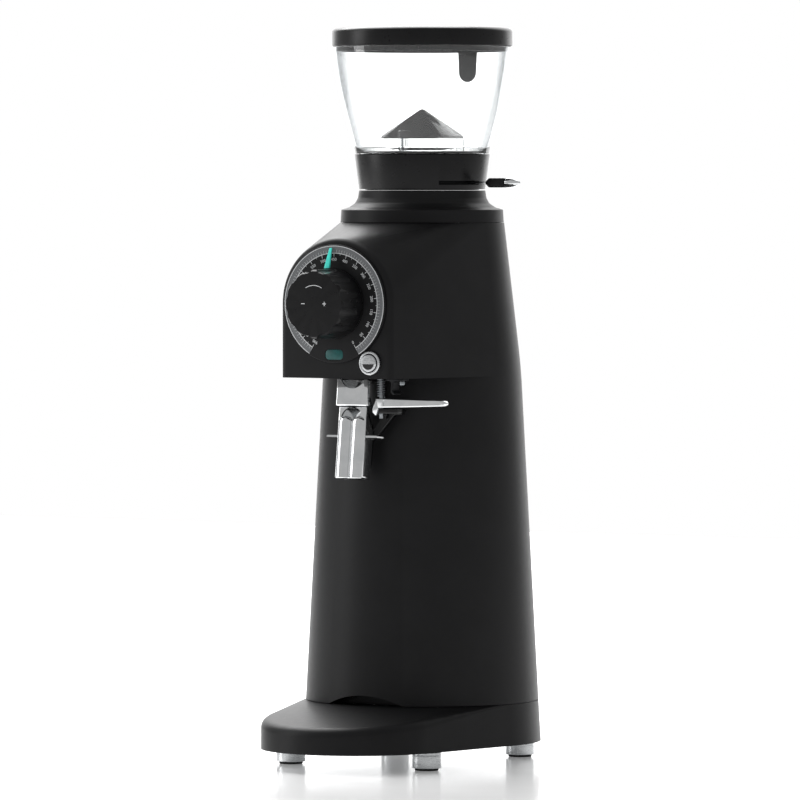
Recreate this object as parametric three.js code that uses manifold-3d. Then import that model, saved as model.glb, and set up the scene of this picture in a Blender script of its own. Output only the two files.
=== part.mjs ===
// A tall shop burr grinder for coffee, in millimetres, +Z up, front towards -Y.
// The column, hopper, burrs and motor share one vertical axis. Inside the group "machine"
// every place is given from that axis and from the floor.
import * as THREE from 'three';
import { mergeVertices } from 'three/addons/utils/BufferGeometryUtils.js';
import { ConvexGeometry } from 'three/addons/geometries/ConvexGeometry.js';
import Module from 'manifold-3d';

const wasm = await Module();
wasm.setup();

// ---- driving dimensions ----
const GAP = 0.3;                 // clearance between touching pieces
const SIDES = 32;                // facets round the large shells
const SMALL_SIDES = 20;          // facets round the small turned pieces
const TINY_SIDES = 10;           // facets round screws, posts and springs
const PAST = 1;                  // how far a cutting tool runs past the face it cuts
const ARC_MIDDLE = 0.29;         // how far in the middle of a quarter circle lies, per radius

const BASE_RADIUS = 107;         // rear of the base, round the axis
const FRONT_RADIUS = 85;         // front of the base
const FRONT_REACH = 113;         // axis to the centre of the front arc
const AXIS_Y = (FRONT_REACH + FRONT_RADIUS - BASE_RADIUS) / 2;   // centres the base on the origin

const FOOT_RADIUS = 13;
const FOOT_TOP = 16.3;
const PAD_RADIUS = 10.5;
const PAD_HEIGHT = 1.7;
const STUD_RADIUS = 3.8;         // threaded stud of a foot
const STUD_HEIGHT = 9;
const FRONT_FEET = { x: 70.7, y: -110 };
const REAR_FEET = { x: 66, y: 62 };

const BASE_BOTTOM = FOOT_TOP + GAP;
const BASE_SEAT = 53.5;          // where the column stands on the base
const RIM_FRONT = 39.7;          // rim height at the very front
const RIM_SLOPE = 0.0965;        // the rim rises towards the column
const RIM_ROUND = 8;
const BASE_WALL = 4;
const BASE_PLATE_THICKNESS = 2;
const CABLE_WAY_RADIUS = 60;     // opening from the base up into the column

const SHELL_WALL = 3;
const COLUMN_FOOT_RADIUS = 104.9;
const COLUMN_NECK_RADIUS = 89.7; // where the straight taper ends
const COLUMN_NECK = 338;
const SHELL_TOP = 482.6;
const SHELL_TOP_RADIUS = 73.8;
const SHOULDER_PULLS = [[87.1, 386], [76.4, 434]];   // control points of the shoulder curve
const ARCH_WIDTH = 78;           // arched recess in the foot of the column
const ARCH_RISE = 9;
const ARCH_DEPTH = 24;
const GLAND_HEIGHT = 78;
const GLAND_RADIUS = 9;
const GLAND_BORE = 4.6;

const HEAD_BOTTOM = 346;
const HEAD_FRONT = -148;
const HEAD_HALF_WIDTH = 58;
const HEAD_ROUND = 6;
const HEAD_REAR_RADIUS = 89.3;   // the head's underside, round the axis
const DIAL_HEIGHT = 412;         // height of the dial and knob centre
const DIAL_RADIUS = 52.2;
const DIAL_THICKNESS = 3;

const NECK_TOP = 511.6;
const COLLAR_BOTTOM = 512.7;
const COLLAR_TOP = 544.2;
const COLLAR_RADIUS = 56.7;
const COLLAR_TOP_RADIUS = 60.8;
const JAR_TOP = 641;
const JAR_TOP_RADIUS = 80.9;
const JAR_WALL = 2.8;
const LID_RADIUS = 81.1;
const LID_TOP = 659.6;
const TAB_WIDTH = 20.6;          // tab that hangs from the rear of the lid
const TAB_HANG = 31.5;
const THROAT_RADIUS = 30.5;      // the way the beans fall
const POST_CIRCLE = 34.3;        // posts of the finger guard
const POST_RADIUS = 3.6;
const GUARD_ANGLES = [0, 120, 240];

const SHUTTER_HEIGHT = 518.5;    // middle of the hopper's rotary shutter
const SHUTTER_THICKNESS = 2.8;
const SHUTTER_PORTS = 5;
const SHUTTER_PORT_ANGLE = 32;
const PORT_INNER_RADIUS = 8;
const SHUTTER_RADIUS = 49.5;
const COLLAR_FLOOR = 524;        // top of the collar's floor, over the shutter
const LEVER_ANGLE = 87;          // shutter lever, from the front towards +X
const LEVER_TRAVEL = 35;
const LEVER_REACH = 105.5;
const LEVER_MARGIN = 6;          // degrees of slot past each end of the lever's travel
const GRIP_START = 70;           // distances from the axis along the lever
const GRIP_END = 90;
const TIP_START = 90.6;

const KNOB_RADIUS = 31;
const KNOB_DEPTH = 33.5;
const KNOB_FLUTES = 12;
const SHAFT_RADIUS = 4;
const BUSH_RADIUS = 9;
const KNOB_CLEAR = 0.7;          // dial face to the back of the knob
const FLUTE_START = 8;           // back of the knob to where its flutes start
const FLUTE_REACH = 9.2;         // knob's side to the middle of a flute
const FLUTE_BACK_RADIUS = 9.5;
const FLUTE_FRONT_RADIUS = 12.5; // the flutes deepen towards the front
const KNOB_SOCKET = 6;           // front of the knob to the end of its bore
const POINTER_LEAN = 3;          // degrees left of the top

const BUTTON_X = 36;
const BUTTON_HEIGHT = 360;
const BUTTON_RADIUS = 7.6;
const BEZEL_RADIUS = 10.6;
const BUTTON_TRAVEL = 2;

const SPOUT_Y = -109;            // middle of the spout, at the underside of the head
const SPOUT_WIDTH = 28.4;
const SPOUT_DEPTH = 15;
const SPIGOT_HALF_WIDTH = 13;    // spigot of the outlet chute, through the head's floor
const SPIGOT_HALF_DEPTH = 8;
const SPOUT_LEAN = 7;            // degrees, the spout leans forward going down
const SPOUT_BLOCK_BOTTOM = 319.7;
const SPOUT_TIP = 255.5;
const CHUTE_WALL = 2;
const WINDOW_RADIUS = 11.5;      // arch of the opening in the front of the chute
const WINDOW_DROP = 13.4;        // top of the chute to the sill of that opening
const LOBE_DROP = 8.4;           // top of the chute to the tops of the tongue's lobes
const LOBE_RADIUS = 6.6;
const LOBE_OFFSET = 7;           // middle of the chute to the middle of a lobe
const LOBE_FLATNESS = 0.55;
const EAR_HEIGHT = 293.4;        // ears of the chute, which stop the mouth of a bag
const EAR_REACH = 28.5;
const EAR_FLATNESS = 0.64;       // depth of the ears' outline over its width
const EAR_THICKNESS = 1.8;
const CLAMP_HEIGHT = 323.7;
const CLAMP_REACH = 92.8;
const CLAMP_PIVOT_X = 25;
const CLAMP_Y = -112;
const CLAMP_PIN_RADIUS = 1.8;

const MOTOR_RADIUS = 73;
const MOTOR_BOTTOM = 104;
const MOTOR_TOP = 262;
const MOTOR_WALL = 4;
const BEARING_RADIUS = 16;
const BEARING_HEIGHT = 7.4;
const MOTOR_FLOOR = 3;           // floor of the lower bearing's seat
const DRIVE_RADIUS = 8;
const CHAMBER_BOTTOM = 338;
const CHAMBER_RIM = 378;
const CHAMBER_RADIUS = 68;
const BURR_RADIUS = 49;
const BURR_HOLE = 30;
const BURR_THICKNESS = 8.7;
const BURR_GAP = 0.9;            // grinding gap as drawn, middle of the adjustment
const LOWER_BURR_BOTTOM = 360.3;
const BURR_GROOVES = 12;

const GEAR_RADIUS = 49.5;        // crown ring and pinion pitch radii
const PINION_RADIUS = 9;
const RING_TEETH = 44;
const PINION_TEETH = 8;
const TOOTH_REACH = 1.3;
const TOOTH_HALF_WIDTH = 1.1;

// ---- materials ----
function finish(color, roughness, metalness, opacity = 1) {
  return new THREE.MeshStandardMaterial({
    color, roughness, metalness, opacity, transparent: opacity < 1,
  });
}

const satinBlack = finish('#1e1e1f', 0.45, 0);
const mouldedBlack = finish('#161616', 0.35, 0);
const clearPlastic = finish('#f2f5f5', 0.05, 0, 0.3);
const chrome = finish('#d8dadb', 0.12, 1);
const satinSteel = finish('#b9bbbc', 0.35, 1);
const hardSteel = finish('#8d9093', 0.3, 1);
const castAluminium = finish('#a9abad', 0.5, 1);
const laminations = finish('#5a5148', 0.6, 0.6);
const rubber = finish('#101010', 0.85, 0);
const teal = finish('#19b3a8', 0.4, 0);
const boardGreen = finish('#1f5a3a', 0.6, 0);
const brass = finish('#b08d4a', 0.3, 1);
const greyPlastic = finish('#c9cbcc', 0.5, 0);

// ---- solids ----
const radians = THREE.MathUtils.degToRad;

function solid(geometry) {
  const bare = geometry.index ? geometry.toNonIndexed() : geometry.clone();
  bare.deleteAttribute('normal');
  bare.deleteAttribute('uv');
  const merged = mergeVertices(bare);
  const corners = [];
  for (let i = 0; i < merged.index.count; i += 3) {
    const [a, b, c] = [0, 1, 2].map((k) => merged.index.getX(i + k));
    if (a !== b && b !== c && c !== a) corners.push(a, b, c);
  }
  return new wasm.Manifold(new wasm.Mesh({
    numProp: 3,
    vertProperties: new Float32Array(merged.attributes.position.array),
    triVerts: new Uint32Array(corners),
  }));
}

function geometryOf(body) {
  const mesh = body.getMesh();
  const geometry = new THREE.BufferGeometry();
  geometry.setAttribute('position', new THREE.BufferAttribute(mesh.vertProperties, 3));
  geometry.setIndex(new THREE.BufferAttribute(mesh.triVerts, 1));
  geometry.computeVertexNormals();
  return geometry;
}

function join(first, ...others) {
  return others.reduce((sum, other) => sum.add(solid(other)), solid(first));
}

function cut(body, ...tools) {
  return tools.reduce((rest, tool) => rest.subtract(solid(tool)), body);
}

// A closed outline of [radius, height] points, anticlockwise, turned round +Z.
function turned(outline, sides = SIDES) {
  const points = [...outline, outline[0]].map(([r, z]) => new THREE.Vector2(r, z));
  return new THREE.LatheGeometry(points, sides).rotateX(Math.PI / 2);
}

function ring(inner, outer, bottom, top, sides = SIDES) {
  return turned([[inner, bottom], [outer, bottom], [outer, top], [inner, top]], sides);
}

function rod(radius, bottom, top, sides = SMALL_SIDES) {
  return ring(0, radius, bottom, top, sides);
}

// A block between two corners.
function block(x0, x1, y0, y1, z0, z1) {
  const box = new THREE.BoxGeometry(x1 - x0, y1 - y0, z1 - z0);
  return box.translate((x0 + x1) / 2, (y0 + y1) / 2, (z0 + z1) / 2);
}

// Turns a piece made along +Z to face the front, and puts its back at y.
function facing(geometry, x, y, z) {
  return geometry.rotateX(Math.PI / 2).translate(x, y, z);
}

function circle(radius, height, x = 0, y = 0, sides = SIDES) {
  return Array.from({ length: sides }, (_, i) => {
    const angle = (i / sides) * 2 * Math.PI;
    const z = typeof height === 'function' ? height(y + radius * Math.sin(angle)) : height;
    return new THREE.Vector3(x + radius * Math.cos(angle), y + radius * Math.sin(angle), z);
  });
}

function hull(...groups) {
  return new ConvexGeometry(groups.flat());
}

// ---- base and feet ----
function rimHeight(y) {
  return Math.min(BASE_SEAT, RIM_FRONT + RIM_SLOPE * (y + FRONT_REACH + FRONT_RADIUS));
}

function baseForm(inset, bottom, drop) {
  const middle = ARC_MIDDLE * RIM_ROUND;
  const rounding = [[0, RIM_ROUND], [middle, middle], [RIM_ROUND, 0]];
  const rims = rounding.map(([inward, down]) => circle(
    FRONT_RADIUS - inset - inward, (y) => rimHeight(y) - down - drop, 0, -FRONT_REACH,
  ));
  return hull(
    circle(BASE_RADIUS - inset, bottom),
    circle(FRONT_RADIUS - inset, bottom, 0, -FRONT_REACH),
    circle(COLUMN_FOOT_RADIUS - inset, BASE_SEAT - drop),
    ...rims,
  );
}

function baseCasting() {
  const inside = baseForm(BASE_WALL, BASE_BOTTOM - PAST, BASE_WALL);
  const cableWay = rod(CABLE_WAY_RADIUS, BASE_SEAT - 2 * BASE_WALL, BASE_SEAT + PAST);
  return cut(solid(baseForm(0, BASE_BOTTOM, 0)), inside, cableWay);
}

function footPlaces() {
  return {
    front_left: [-FRONT_FEET.x, FRONT_FEET.y],
    front_right: [FRONT_FEET.x, FRONT_FEET.y],
    rear_left: [-REAR_FEET.x, REAR_FEET.y],
    rear_right: [REAR_FEET.x, REAR_FEET.y],
  };
}

function basePlate() {
  const bottom = BASE_BOTTOM + GAP;
  const top = bottom + BASE_PLATE_THICKNESS;
  const inset = BASE_WALL + GAP;
  const plate = hull(
    circle(BASE_RADIUS - inset, bottom),
    circle(BASE_RADIUS - inset, top),
    circle(FRONT_RADIUS - inset, bottom, 0, -FRONT_REACH),
    circle(FRONT_RADIUS - inset, top, 0, -FRONT_REACH),
  );
  const holes = Object.values(footPlaces()).map(([x, y]) => (
    rod(STUD_RADIUS + 0.4, bottom - PAST, top + PAST, TINY_SIDES).translate(x, y, 0)
  ));
  return cut(solid(plate), ...holes);
}

function foot() {
  const bottom = PAD_HEIGHT + GAP;
  const edge = 0.8;
  return turned([
    [0, bottom], [FOOT_RADIUS - edge, bottom], [FOOT_RADIUS, bottom + edge],
    [FOOT_RADIUS, FOOT_TOP - edge], [FOOT_RADIUS - edge, FOOT_TOP],
    [STUD_RADIUS, FOOT_TOP], [STUD_RADIUS, FOOT_TOP + STUD_HEIGHT], [0, FOOT_TOP + STUD_HEIGHT],
  ], SMALL_SIDES);
}

// ---- column and head ----
// The column tapers straight up to its shoulder, then draws in along one smooth curve.
function shoulderCurve(offset) {
  const curve = new THREE.CubicBezierCurve(
    new THREE.Vector2(COLUMN_NECK_RADIUS - offset, COLUMN_NECK),
    ...SHOULDER_PULLS.map(([radius, height]) => new THREE.Vector2(radius - offset, height)),
    new THREE.Vector2(SHELL_TOP_RADIUS - offset, SHELL_TOP),
  );
  return curve.getPoints(7).map((point) => [point.x, point.y]);
}

function columnForm(offset, bottom, lift) {
  const curve = shoulderCurve(offset);
  const top = [SHELL_TOP_RADIUS - offset, SHELL_TOP + lift];
  const side = lift ? [...curve, top] : curve;
  return turned([
    [0, bottom], [COLUMN_FOOT_RADIUS - offset, bottom], ...side, [0, SHELL_TOP + lift],
  ]);
}

// The front of the head is an arch: a half circle over the dial, with upright sides.
function arch(y, radius, bottom) {
  const steps = 16;
  const points = Array.from({ length: steps + 1 }, (_, i) => {
    const angle = (i / steps) * Math.PI;
    return new THREE.Vector3(
      radius * Math.cos(angle), y, DIAL_HEIGHT + radius * Math.sin(angle),
    );
  });
  const feet = [-radius, radius].map((x) => new THREE.Vector3(x, y, bottom));
  return [...points, ...feet];
}

function headForm(offset, bottom) {
  const middle = ARC_MIDDLE * HEAD_ROUND;
  const rounding = [[0, HEAD_ROUND], [middle, middle], [HEAD_ROUND, 0]];
  const arches = rounding.map(([back, inward]) => arch(
    HEAD_FRONT + offset + back, HEAD_HALF_WIDTH - offset - inward, bottom,
  ));
  return hull(
    circle(SHELL_TOP_RADIUS - 1.3 * offset, SHELL_TOP - offset),
    circle(HEAD_REAR_RADIUS - offset, bottom),
    ...arches,
  );
}

// The arched recess in the foot of the column; "grow" gives its lining round it.
function footArch(grow, depth) {
  const half = ARCH_WIDTH / 2 + grow;
  const shape = new THREE.Shape();
  shape.moveTo(-half, 0);
  shape.quadraticCurveTo(0, 2 * (ARCH_RISE + grow), half, 0);
  shape.lineTo(half, grow ? 0 : -2);
  shape.lineTo(-half, grow ? 0 : -2);
  const settings = { depth, bevelEnabled: false, curveSegments: 10 };
  const tool = new THREE.ExtrudeGeometry(shape, settings).rotateX(Math.PI / 2);
  return tool.translate(0, -COLUMN_FOOT_RADIUS + depth, BASE_SEAT + GAP);
}

function bodyShell() {
  const bottom = BASE_SEAT + GAP;
  const inside = HEAD_FRONT + SHELL_WALL + 2;
  const through = 2 * SHELL_WALL;
  const column = solid(columnForm(0, bottom, 0));
  const hollow = cut(
    column.add(solid(headForm(0, HEAD_BOTTOM))),
    columnForm(SHELL_WALL, bottom - PAST, PAST),
    headForm(SHELL_WALL, HEAD_BOTTOM + SHELL_WALL),
    facing(rod(BUSH_RADIUS + GAP, 0, through), 0, inside, DIAL_HEIGHT),
    facing(rod(BUTTON_RADIUS - 1, 0, through), BUTTON_X, inside, BUTTON_HEIGHT),
    block(
      -SPIGOT_HALF_WIDTH - 1, SPIGOT_HALF_WIDTH + 1,
      SPOUT_Y - SPIGOT_HALF_DEPTH - 0.5, SPOUT_Y + SPIGOT_HALF_DEPTH + 0.5,
      HEAD_BOTTOM - PAST, HEAD_BOTTOM + SHELL_WALL + PAST,
    ),
    facing(rod(GLAND_RADIUS + GAP, 0, 2 * through), 0, COLUMN_FOOT_RADIUS + 3, GLAND_HEIGHT),
  );
  const lining = solid(footArch(SHELL_WALL, ARCH_DEPTH + SHELL_WALL)).intersect(column);
  return cut(hollow.add(lining), footArch(0, ARCH_DEPTH));
}

function topCover() {
  const bottom = SHELL_TOP + GAP;
  return turned([
    [THROAT_RADIUS + 3.3, 508], [53.5, 508], [53.5, 503], [69.5, 491.5], [70.6, bottom],
    [73.6, bottom], [73.3, 484.8], [72.8, 494.3], [66, 496.4], [60.5, 500], [57.8, 505],
    [56.8, NECK_TOP], [THROAT_RADIUS + 3.3, NECK_TOP],
  ]);
}

function cordGland() {
  const outline = [
    [GLAND_BORE, -20], [GLAND_RADIUS, -20], [GLAND_RADIUS, 0], [13, 0], [13, 0.9], [12, 2],
    [GLAND_BORE, 2],
  ];
  const body = turned(outline, SMALL_SIDES).rotateX(-Math.PI / 2);
  return body.translate(0, COLUMN_FOOT_RADIUS, GLAND_HEIGHT);
}

// ---- hopper ----
// The same openings serve the collar's floor and the shutter; half a pitch shuts them.
function portSectors(inner, outer, bottom, top, turn) {
  return Array.from({ length: SHUTTER_PORTS }, (_, i) => {
    const start = radians((i * 360) / SHUTTER_PORTS + turn);
    const end = start + radians(SHUTTER_PORT_ANGLE);
    const shape = new THREE.Shape();
    shape.absarc(0, 0, outer, start, end, false);
    shape.absarc(0, 0, inner, end, start, true);
    const settings = { depth: top - bottom, bevelEnabled: false, curveSegments: 4 };
    return new THREE.ExtrudeGeometry(shape, settings).translate(0, 0, bottom);
  });
}

function leverSlot() {
  const halfHeight = SHUTTER_THICKNESS / 2 + GAP;
  const start = radians(LEVER_ANGLE - LEVER_TRAVEL - LEVER_MARGIN - 90);
  const end = radians(LEVER_ANGLE + LEVER_MARGIN - 90);
  const shape = new THREE.Shape();
  shape.absarc(0, 0, COLLAR_TOP_RADIUS + 9.2, start, end, false);
  shape.absarc(0, 0, SHUTTER_RADIUS - 9.5, end, start, true);
  const settings = { depth: 2 * halfHeight, bevelEnabled: false, curveSegments: 8 };
  const tool = new THREE.ExtrudeGeometry(shape, settings);
  return tool.translate(0, 0, SHUTTER_HEIGHT - halfHeight);
}

function hopperCollar() {
  const body = solid(turned([
    [0, NECK_TOP + GAP], [51.4, NECK_TOP + GAP], [51.4, COLLAR_BOTTOM],
    [COLLAR_RADIUS, COLLAR_BOTTOM], [COLLAR_TOP_RADIUS, COLLAR_TOP],
    [57.4, COLLAR_TOP], [54.2, COLLAR_FLOOR], [0, COLLAR_FLOOR],
  ]));
  const halfHeight = SHUTTER_THICKNESS / 2 + GAP;
  return cut(
    body,
    rod(SHUTTER_RADIUS + 0.5, SHUTTER_HEIGHT - halfHeight, SHUTTER_HEIGHT + halfHeight, SIDES),
    leverSlot(),
    ...portSectors(PORT_INNER_RADIUS, THROAT_RADIUS, NECK_TOP, COLLAR_FLOOR + PAST, 0),
  );
}

function gateDisc() {
  const bottom = SHUTTER_HEIGHT - SHUTTER_THICKNESS / 2;
  const top = bottom + SHUTTER_THICKNESS;
  const ports = portSectors(
    PORT_INNER_RADIUS, THROAT_RADIUS, bottom - PAST, top + PAST, SHUTTER_PORT_ANGLE + 4,
  );
  return cut(solid(rod(SHUTTER_RADIUS, bottom, top, SIDES)), ...ports);
}

function towardsLever(geometry) {
  return geometry.rotateZ(radians(LEVER_ANGLE - 90));
}

function gateLever() {
  const half = SHUTTER_THICKNESS / 2 - GAP;
  const bar = block(
    SHUTTER_RADIUS + GAP, GRIP_END + 2, -3, 3, SHUTTER_HEIGHT - half, SHUTTER_HEIGHT + half,
  );
  return towardsLever(bar);
}

// A moulded sleeve with a slot for the bar, chamfered where it starts.
function gateGrip() {
  const half = 4.2;
  const chamfer = 4;
  const profile = [
    [GRIP_START, -1, 3.4], [GRIP_START, 1, 3.4],
    [GRIP_START + chamfer, -half, 4], [GRIP_START + chamfer, half, 4],
    [GRIP_END, -half, 4], [GRIP_END, half, 4],
  ];
  const corners = profile.flatMap(([x, z, width]) => (
    [-width, width].map((y) => new THREE.Vector3(x, y, SHUTTER_HEIGHT + z))
  ));
  const barHalf = SHUTTER_THICKNESS / 2;
  const slot = block(
    GRIP_START - 10, GRIP_END + 2, -3.3, 3.3, SHUTTER_HEIGHT - barHalf, SHUTTER_HEIGHT + barHalf,
  );
  return towardsLever(geometryOf(cut(solid(hull(corners)), slot)));
}

function gateTip() {
  const length = LEVER_REACH - TIP_START;
  const outline = [[0, 0], [4.2, 0], [4.2, 5], [3.4, 10], [1.6, length - 0.6], [0, length]];
  const tip = turned(outline, 16);
  const slot = block(-1, 3, -3.2, 3.2, -1.6, 1.6);
  const placed = tip.rotateY(Math.PI / 2);
  const body = geometryOf(cut(solid(placed), slot));
  return towardsLever(body.translate(TIP_START, 0, SHUTTER_HEIGHT));
}

// Three posts, moulded with the jar, carry the finger guard.
function guardPost(angle) {
  const x = POST_CIRCLE * Math.sin(radians(angle));
  const y = -POST_CIRCLE * Math.cos(radians(angle));
  return rod(POST_RADIUS, 543, 558, TINY_SIDES).translate(x, y, 0);
}

function hopperJar() {
  const wall = JAR_WALL;
  const flare = new THREE.CubicBezierCurve(
    new THREE.Vector2(61, COLLAR_TOP + GAP),
    new THREE.Vector2(63, 563),
    new THREE.Vector2(76.8, 593),
    new THREE.Vector2(JAR_TOP_RADIUS, JAR_TOP),
  );
  const outer = flare.getPoints(6).map((point) => [point.x, point.y]);
  const inner = outer.slice(1).reverse().map(([r, z]) => [r - wall, z]);
  const jar = turned([
    [29, 541.5], [51.5, 541.5], [51.5, 526], [53.9, 526], [56.7, COLLAR_TOP + GAP],
    ...outer, ...inner, [57.6, 546.8], [54, 544.2], [29, 544.2],
  ]);
  const body = join(jar, ...GUARD_ANGLES.map(guardPost));
  const screwHole = rod(1.2, 540, 559, TINY_SIDES).translate(0, -POST_CIRCLE, 0);
  return cut(body, screwHole);
}

function hopperLid() {
  const bottom = JAR_TOP + GAP;
  const cover = turned([
    [0, 655.6], [73.5, 654.4], [74.8, 636.5], [77.2, 636.5], [77.4, bottom],
    [LID_RADIUS, bottom], [LID_RADIUS, 653], [79.9, 655.9], [77, 657.1], [40, LID_TOP - 0.4],
    [0, LID_TOP],
  ]);
  const half = TAB_WIDTH / 2;
  const round = half - 1.2;
  const shape = new THREE.Shape();
  shape.moveTo(-half, TAB_HANG + 2.5);
  shape.lineTo(-round, round - 0.1);
  shape.absarc(0, round, round, Math.PI, 2 * Math.PI, false);
  shape.lineTo(half, TAB_HANG + 2.5);
  const settings = { depth: 2.4, bevelEnabled: false, curveSegments: 10 };
  const tab = new THREE.ExtrudeGeometry(shape, settings).rotateX(Math.PI / 2);
  const back = LID_RADIUS + 2.6;
  tab.translate(0, back, JAR_TOP - TAB_HANG + GAP);
  const bridge = block(-half, half, LID_RADIUS - 3, back, bottom, bottom + 2.8);
  return join(cover, tab, bridge);
}

function guardCap() {
  const rim = 558.3;
  const height = 28.5;
  const side = 31;
  const dome = turned([
    [0, rim], [37.8, rim], [37.4, rim + 2], [36, rim + 3.9], [33.5, rim + 6.4],
    [28, rim + 12], [8, rim + 30], [0, rim + 34],
  ]);
  const corners = [[-1, -1], [1, -1], [1, 1], [-1, 1]];
  const pyramid = hull([
    ...corners.map(([x, y]) => new THREE.Vector3(x * side, y * side, rim)),
    new THREE.Vector3(0, 0, rim + height),
  ]);
  const boss = rod(6, rim, rim + 7.5, TINY_SIDES).translate(0, -POST_CIRCLE + 4, 0);
  const body = solid(dome).intersect(solid(pyramid)).add(solid(boss));
  const screwHole = rod(1.3, rim - 1, rim + 5, TINY_SIDES).translate(0, -POST_CIRCLE, 0);
  return cut(body, screwHole);
}

function guardScrew() {
  return rod(0.9, 545, 562.5, TINY_SIDES).translate(0, -POST_CIRCLE, 0);
}

// ---- dial, knob and button ----
function dialPlate() {
  const plate = turned([
    [9.5, GAP], [DIAL_RADIUS - 0.6, GAP], [DIAL_RADIUS, GAP + 0.6],
    [DIAL_RADIUS, DIAL_THICKNESS - 0.6], [DIAL_RADIUS - 0.6, DIAL_THICKNESS],
    [9.5, DIAL_THICKNESS],
  ]);
  const window = block(-9.3, 9.3, HEAD_FRONT - 4, HEAD_FRONT - 1.5, 362.2, 371.8);
  return cut(solid(facing(plate, 0, HEAD_FRONT, DIAL_HEIGHT)), window);
}

function dialWindow() {
  return block(-9, 9, HEAD_FRONT - 2.7, HEAD_FRONT - 1.8, 362.5, 371.5);
}

function adjustKnob() {
  const back = DIAL_THICKNESS + KNOB_CLEAR;
  const front = back + KNOB_DEPTH;
  const body = solid(turned([
    [SHAFT_RADIUS + GAP, back], [KNOB_RADIUS - 1, back], [KNOB_RADIUS, back + 1.5],
    [KNOB_RADIUS - 0.8, front - 3], [KNOB_RADIUS - 3, front], [0, front],
    [0, front - KNOB_SOCKET], [SHAFT_RADIUS + GAP, front - KNOB_SOCKET],
  ]));
  const flutes = Array.from({ length: KNOB_FLUTES }, (_, i) => {
    const angle = ((i + 0.5) / KNOB_FLUTES) * 2 * Math.PI;
    const reach = KNOB_RADIUS + FLUTE_REACH;
    const tool = turned([
      [0, back + FLUTE_START], [FLUTE_BACK_RADIUS, back + FLUTE_START],
      [FLUTE_FRONT_RADIUS, front + PAST], [0, front + PAST],
    ], SMALL_SIDES);
    return tool.translate(reach * Math.cos(angle), reach * Math.sin(angle), 0);
  });
  const knob = geometryOf(cut(body, ...flutes));
  return facing(knob, 0, HEAD_FRONT, DIAL_HEIGHT);
}

function knobPointer() {
  const lift = DIAL_THICKNESS + 0.4;
  const start = KNOB_RADIUS + 0.4;
  const end = DIAL_RADIUS - 3;
  const corners = [[start, 2.6, 13.5], [start, 2.6, 11], [end, 1.2, lift + 1.4], [end, 1.2, lift]];
  const points = corners.flatMap(([reach, half, out]) => [
    new THREE.Vector3(-half, -out, reach), new THREE.Vector3(half, -out, reach),
  ]);
  const wedge = hull(points).rotateY(-radians(POINTER_LEAN));
  return wedge.translate(0, HEAD_FRONT, DIAL_HEIGHT);
}

function buttonBezel() {
  const outline = [
    [BUTTON_RADIUS + GAP, GAP], [BEZEL_RADIUS, GAP], [BEZEL_RADIUS, 2], [BEZEL_RADIUS - 1, 3],
    [BUTTON_RADIUS + 1, 3], [BUTTON_RADIUS + GAP, 2],
  ];
  return facing(turned(outline, SMALL_SIDES), BUTTON_X, HEAD_FRONT, BUTTON_HEIGHT);
}

function startButton() {
  const stem = BUTTON_RADIUS - 1.6;
  const outline = [
    [0, -7], [stem, -7], [stem, BUTTON_TRAVEL + GAP + 0.2],
    [BUTTON_RADIUS, BUTTON_TRAVEL + GAP + 0.2], [BUTTON_RADIUS, 3.6], [BUTTON_RADIUS - 1, 4.4],
    [0, 4.4],
  ];
  return facing(turned(outline, SMALL_SIDES), BUTTON_X, HEAD_FRONT, BUTTON_HEIGHT);
}

function startSwitch() {
  const back = HEAD_FRONT + 7 + BUTTON_TRAVEL + GAP;
  return block(BUTTON_X - 6, BUTTON_X + 6, back, back + 16, BUTTON_HEIGHT - 5, BUTTON_HEIGHT + 5);
}

// ---- burr adjustment ----
function tooth(length, height, halfWidth) {
  const tip = halfWidth * 0.6;
  const points = [0, length].flatMap((y) => [
    new THREE.Vector3(-halfWidth, y, 0), new THREE.Vector3(halfWidth, y, 0),
    new THREE.Vector3(-tip, y, height), new THREE.Vector3(tip, y, height),
  ]);
  return hull(points);
}

function knobShaft() {
  const shaftBack = GEAR_RADIUS - 5;
  const knobFront = -HEAD_FRONT + DIAL_THICKNESS + KNOB_CLEAR + KNOB_DEPTH;
  const front = knobFront - KNOB_SOCKET - GAP;
  const shaft = solid(facing(rod(SHAFT_RADIUS, shaftBack, front, 16), 0, 0, DIAL_HEIGHT));
  const root = PINION_RADIUS - TOOTH_REACH;
  const hub = facing(rod(root, shaftBack, GEAR_RADIUS + 5, 16), 0, 0, DIAL_HEIGHT);
  const teeth = Array.from({ length: PINION_TEETH }, (_, i) => {
    const leaf = tooth(10, 2 * TOOTH_REACH + 0.6, TOOTH_HALF_WIDTH).translate(0, 0, root - 0.6);
    leaf.rotateY((i / PINION_TEETH) * 2 * Math.PI);
    return leaf.translate(0, -GEAR_RADIUS - 5, DIAL_HEIGHT);
  });
  return [hub, ...teeth].reduce((sum, piece) => sum.add(solid(piece)), shaft);
}

function knobBush() {
  const outline = [
    [SHAFT_RADIUS + GAP, -12], [BUSH_RADIUS, -12], [BUSH_RADIUS, DIAL_THICKNESS - 0.4],
    [SHAFT_RADIUS + GAP, DIAL_THICKNESS - 0.4],
  ];
  return facing(turned(outline, SMALL_SIDES), 0, HEAD_FRONT, DIAL_HEIGHT);
}

function adjustRing() {
  const root = DIAL_HEIGHT + PINION_RADIUS + TOOTH_REACH + 0.7;
  const body = solid(ring(42.1, 56, root, root + 8));
  const teeth = Array.from({ length: RING_TEETH }, (_, i) => {
    const height = 2 * TOOTH_REACH + 0.7;
    const leaf = tooth(9, height + 0.5, TOOTH_HALF_WIDTH).rotateY(Math.PI);
    leaf.translate(0, -GEAR_RADIUS - 4.5, root + 0.5);
    return leaf.rotateZ(((i + 0.5) / RING_TEETH) * 2 * Math.PI);
  });
  return teeth.reduce((sum, piece) => sum.add(solid(piece)), body);
}

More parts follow.
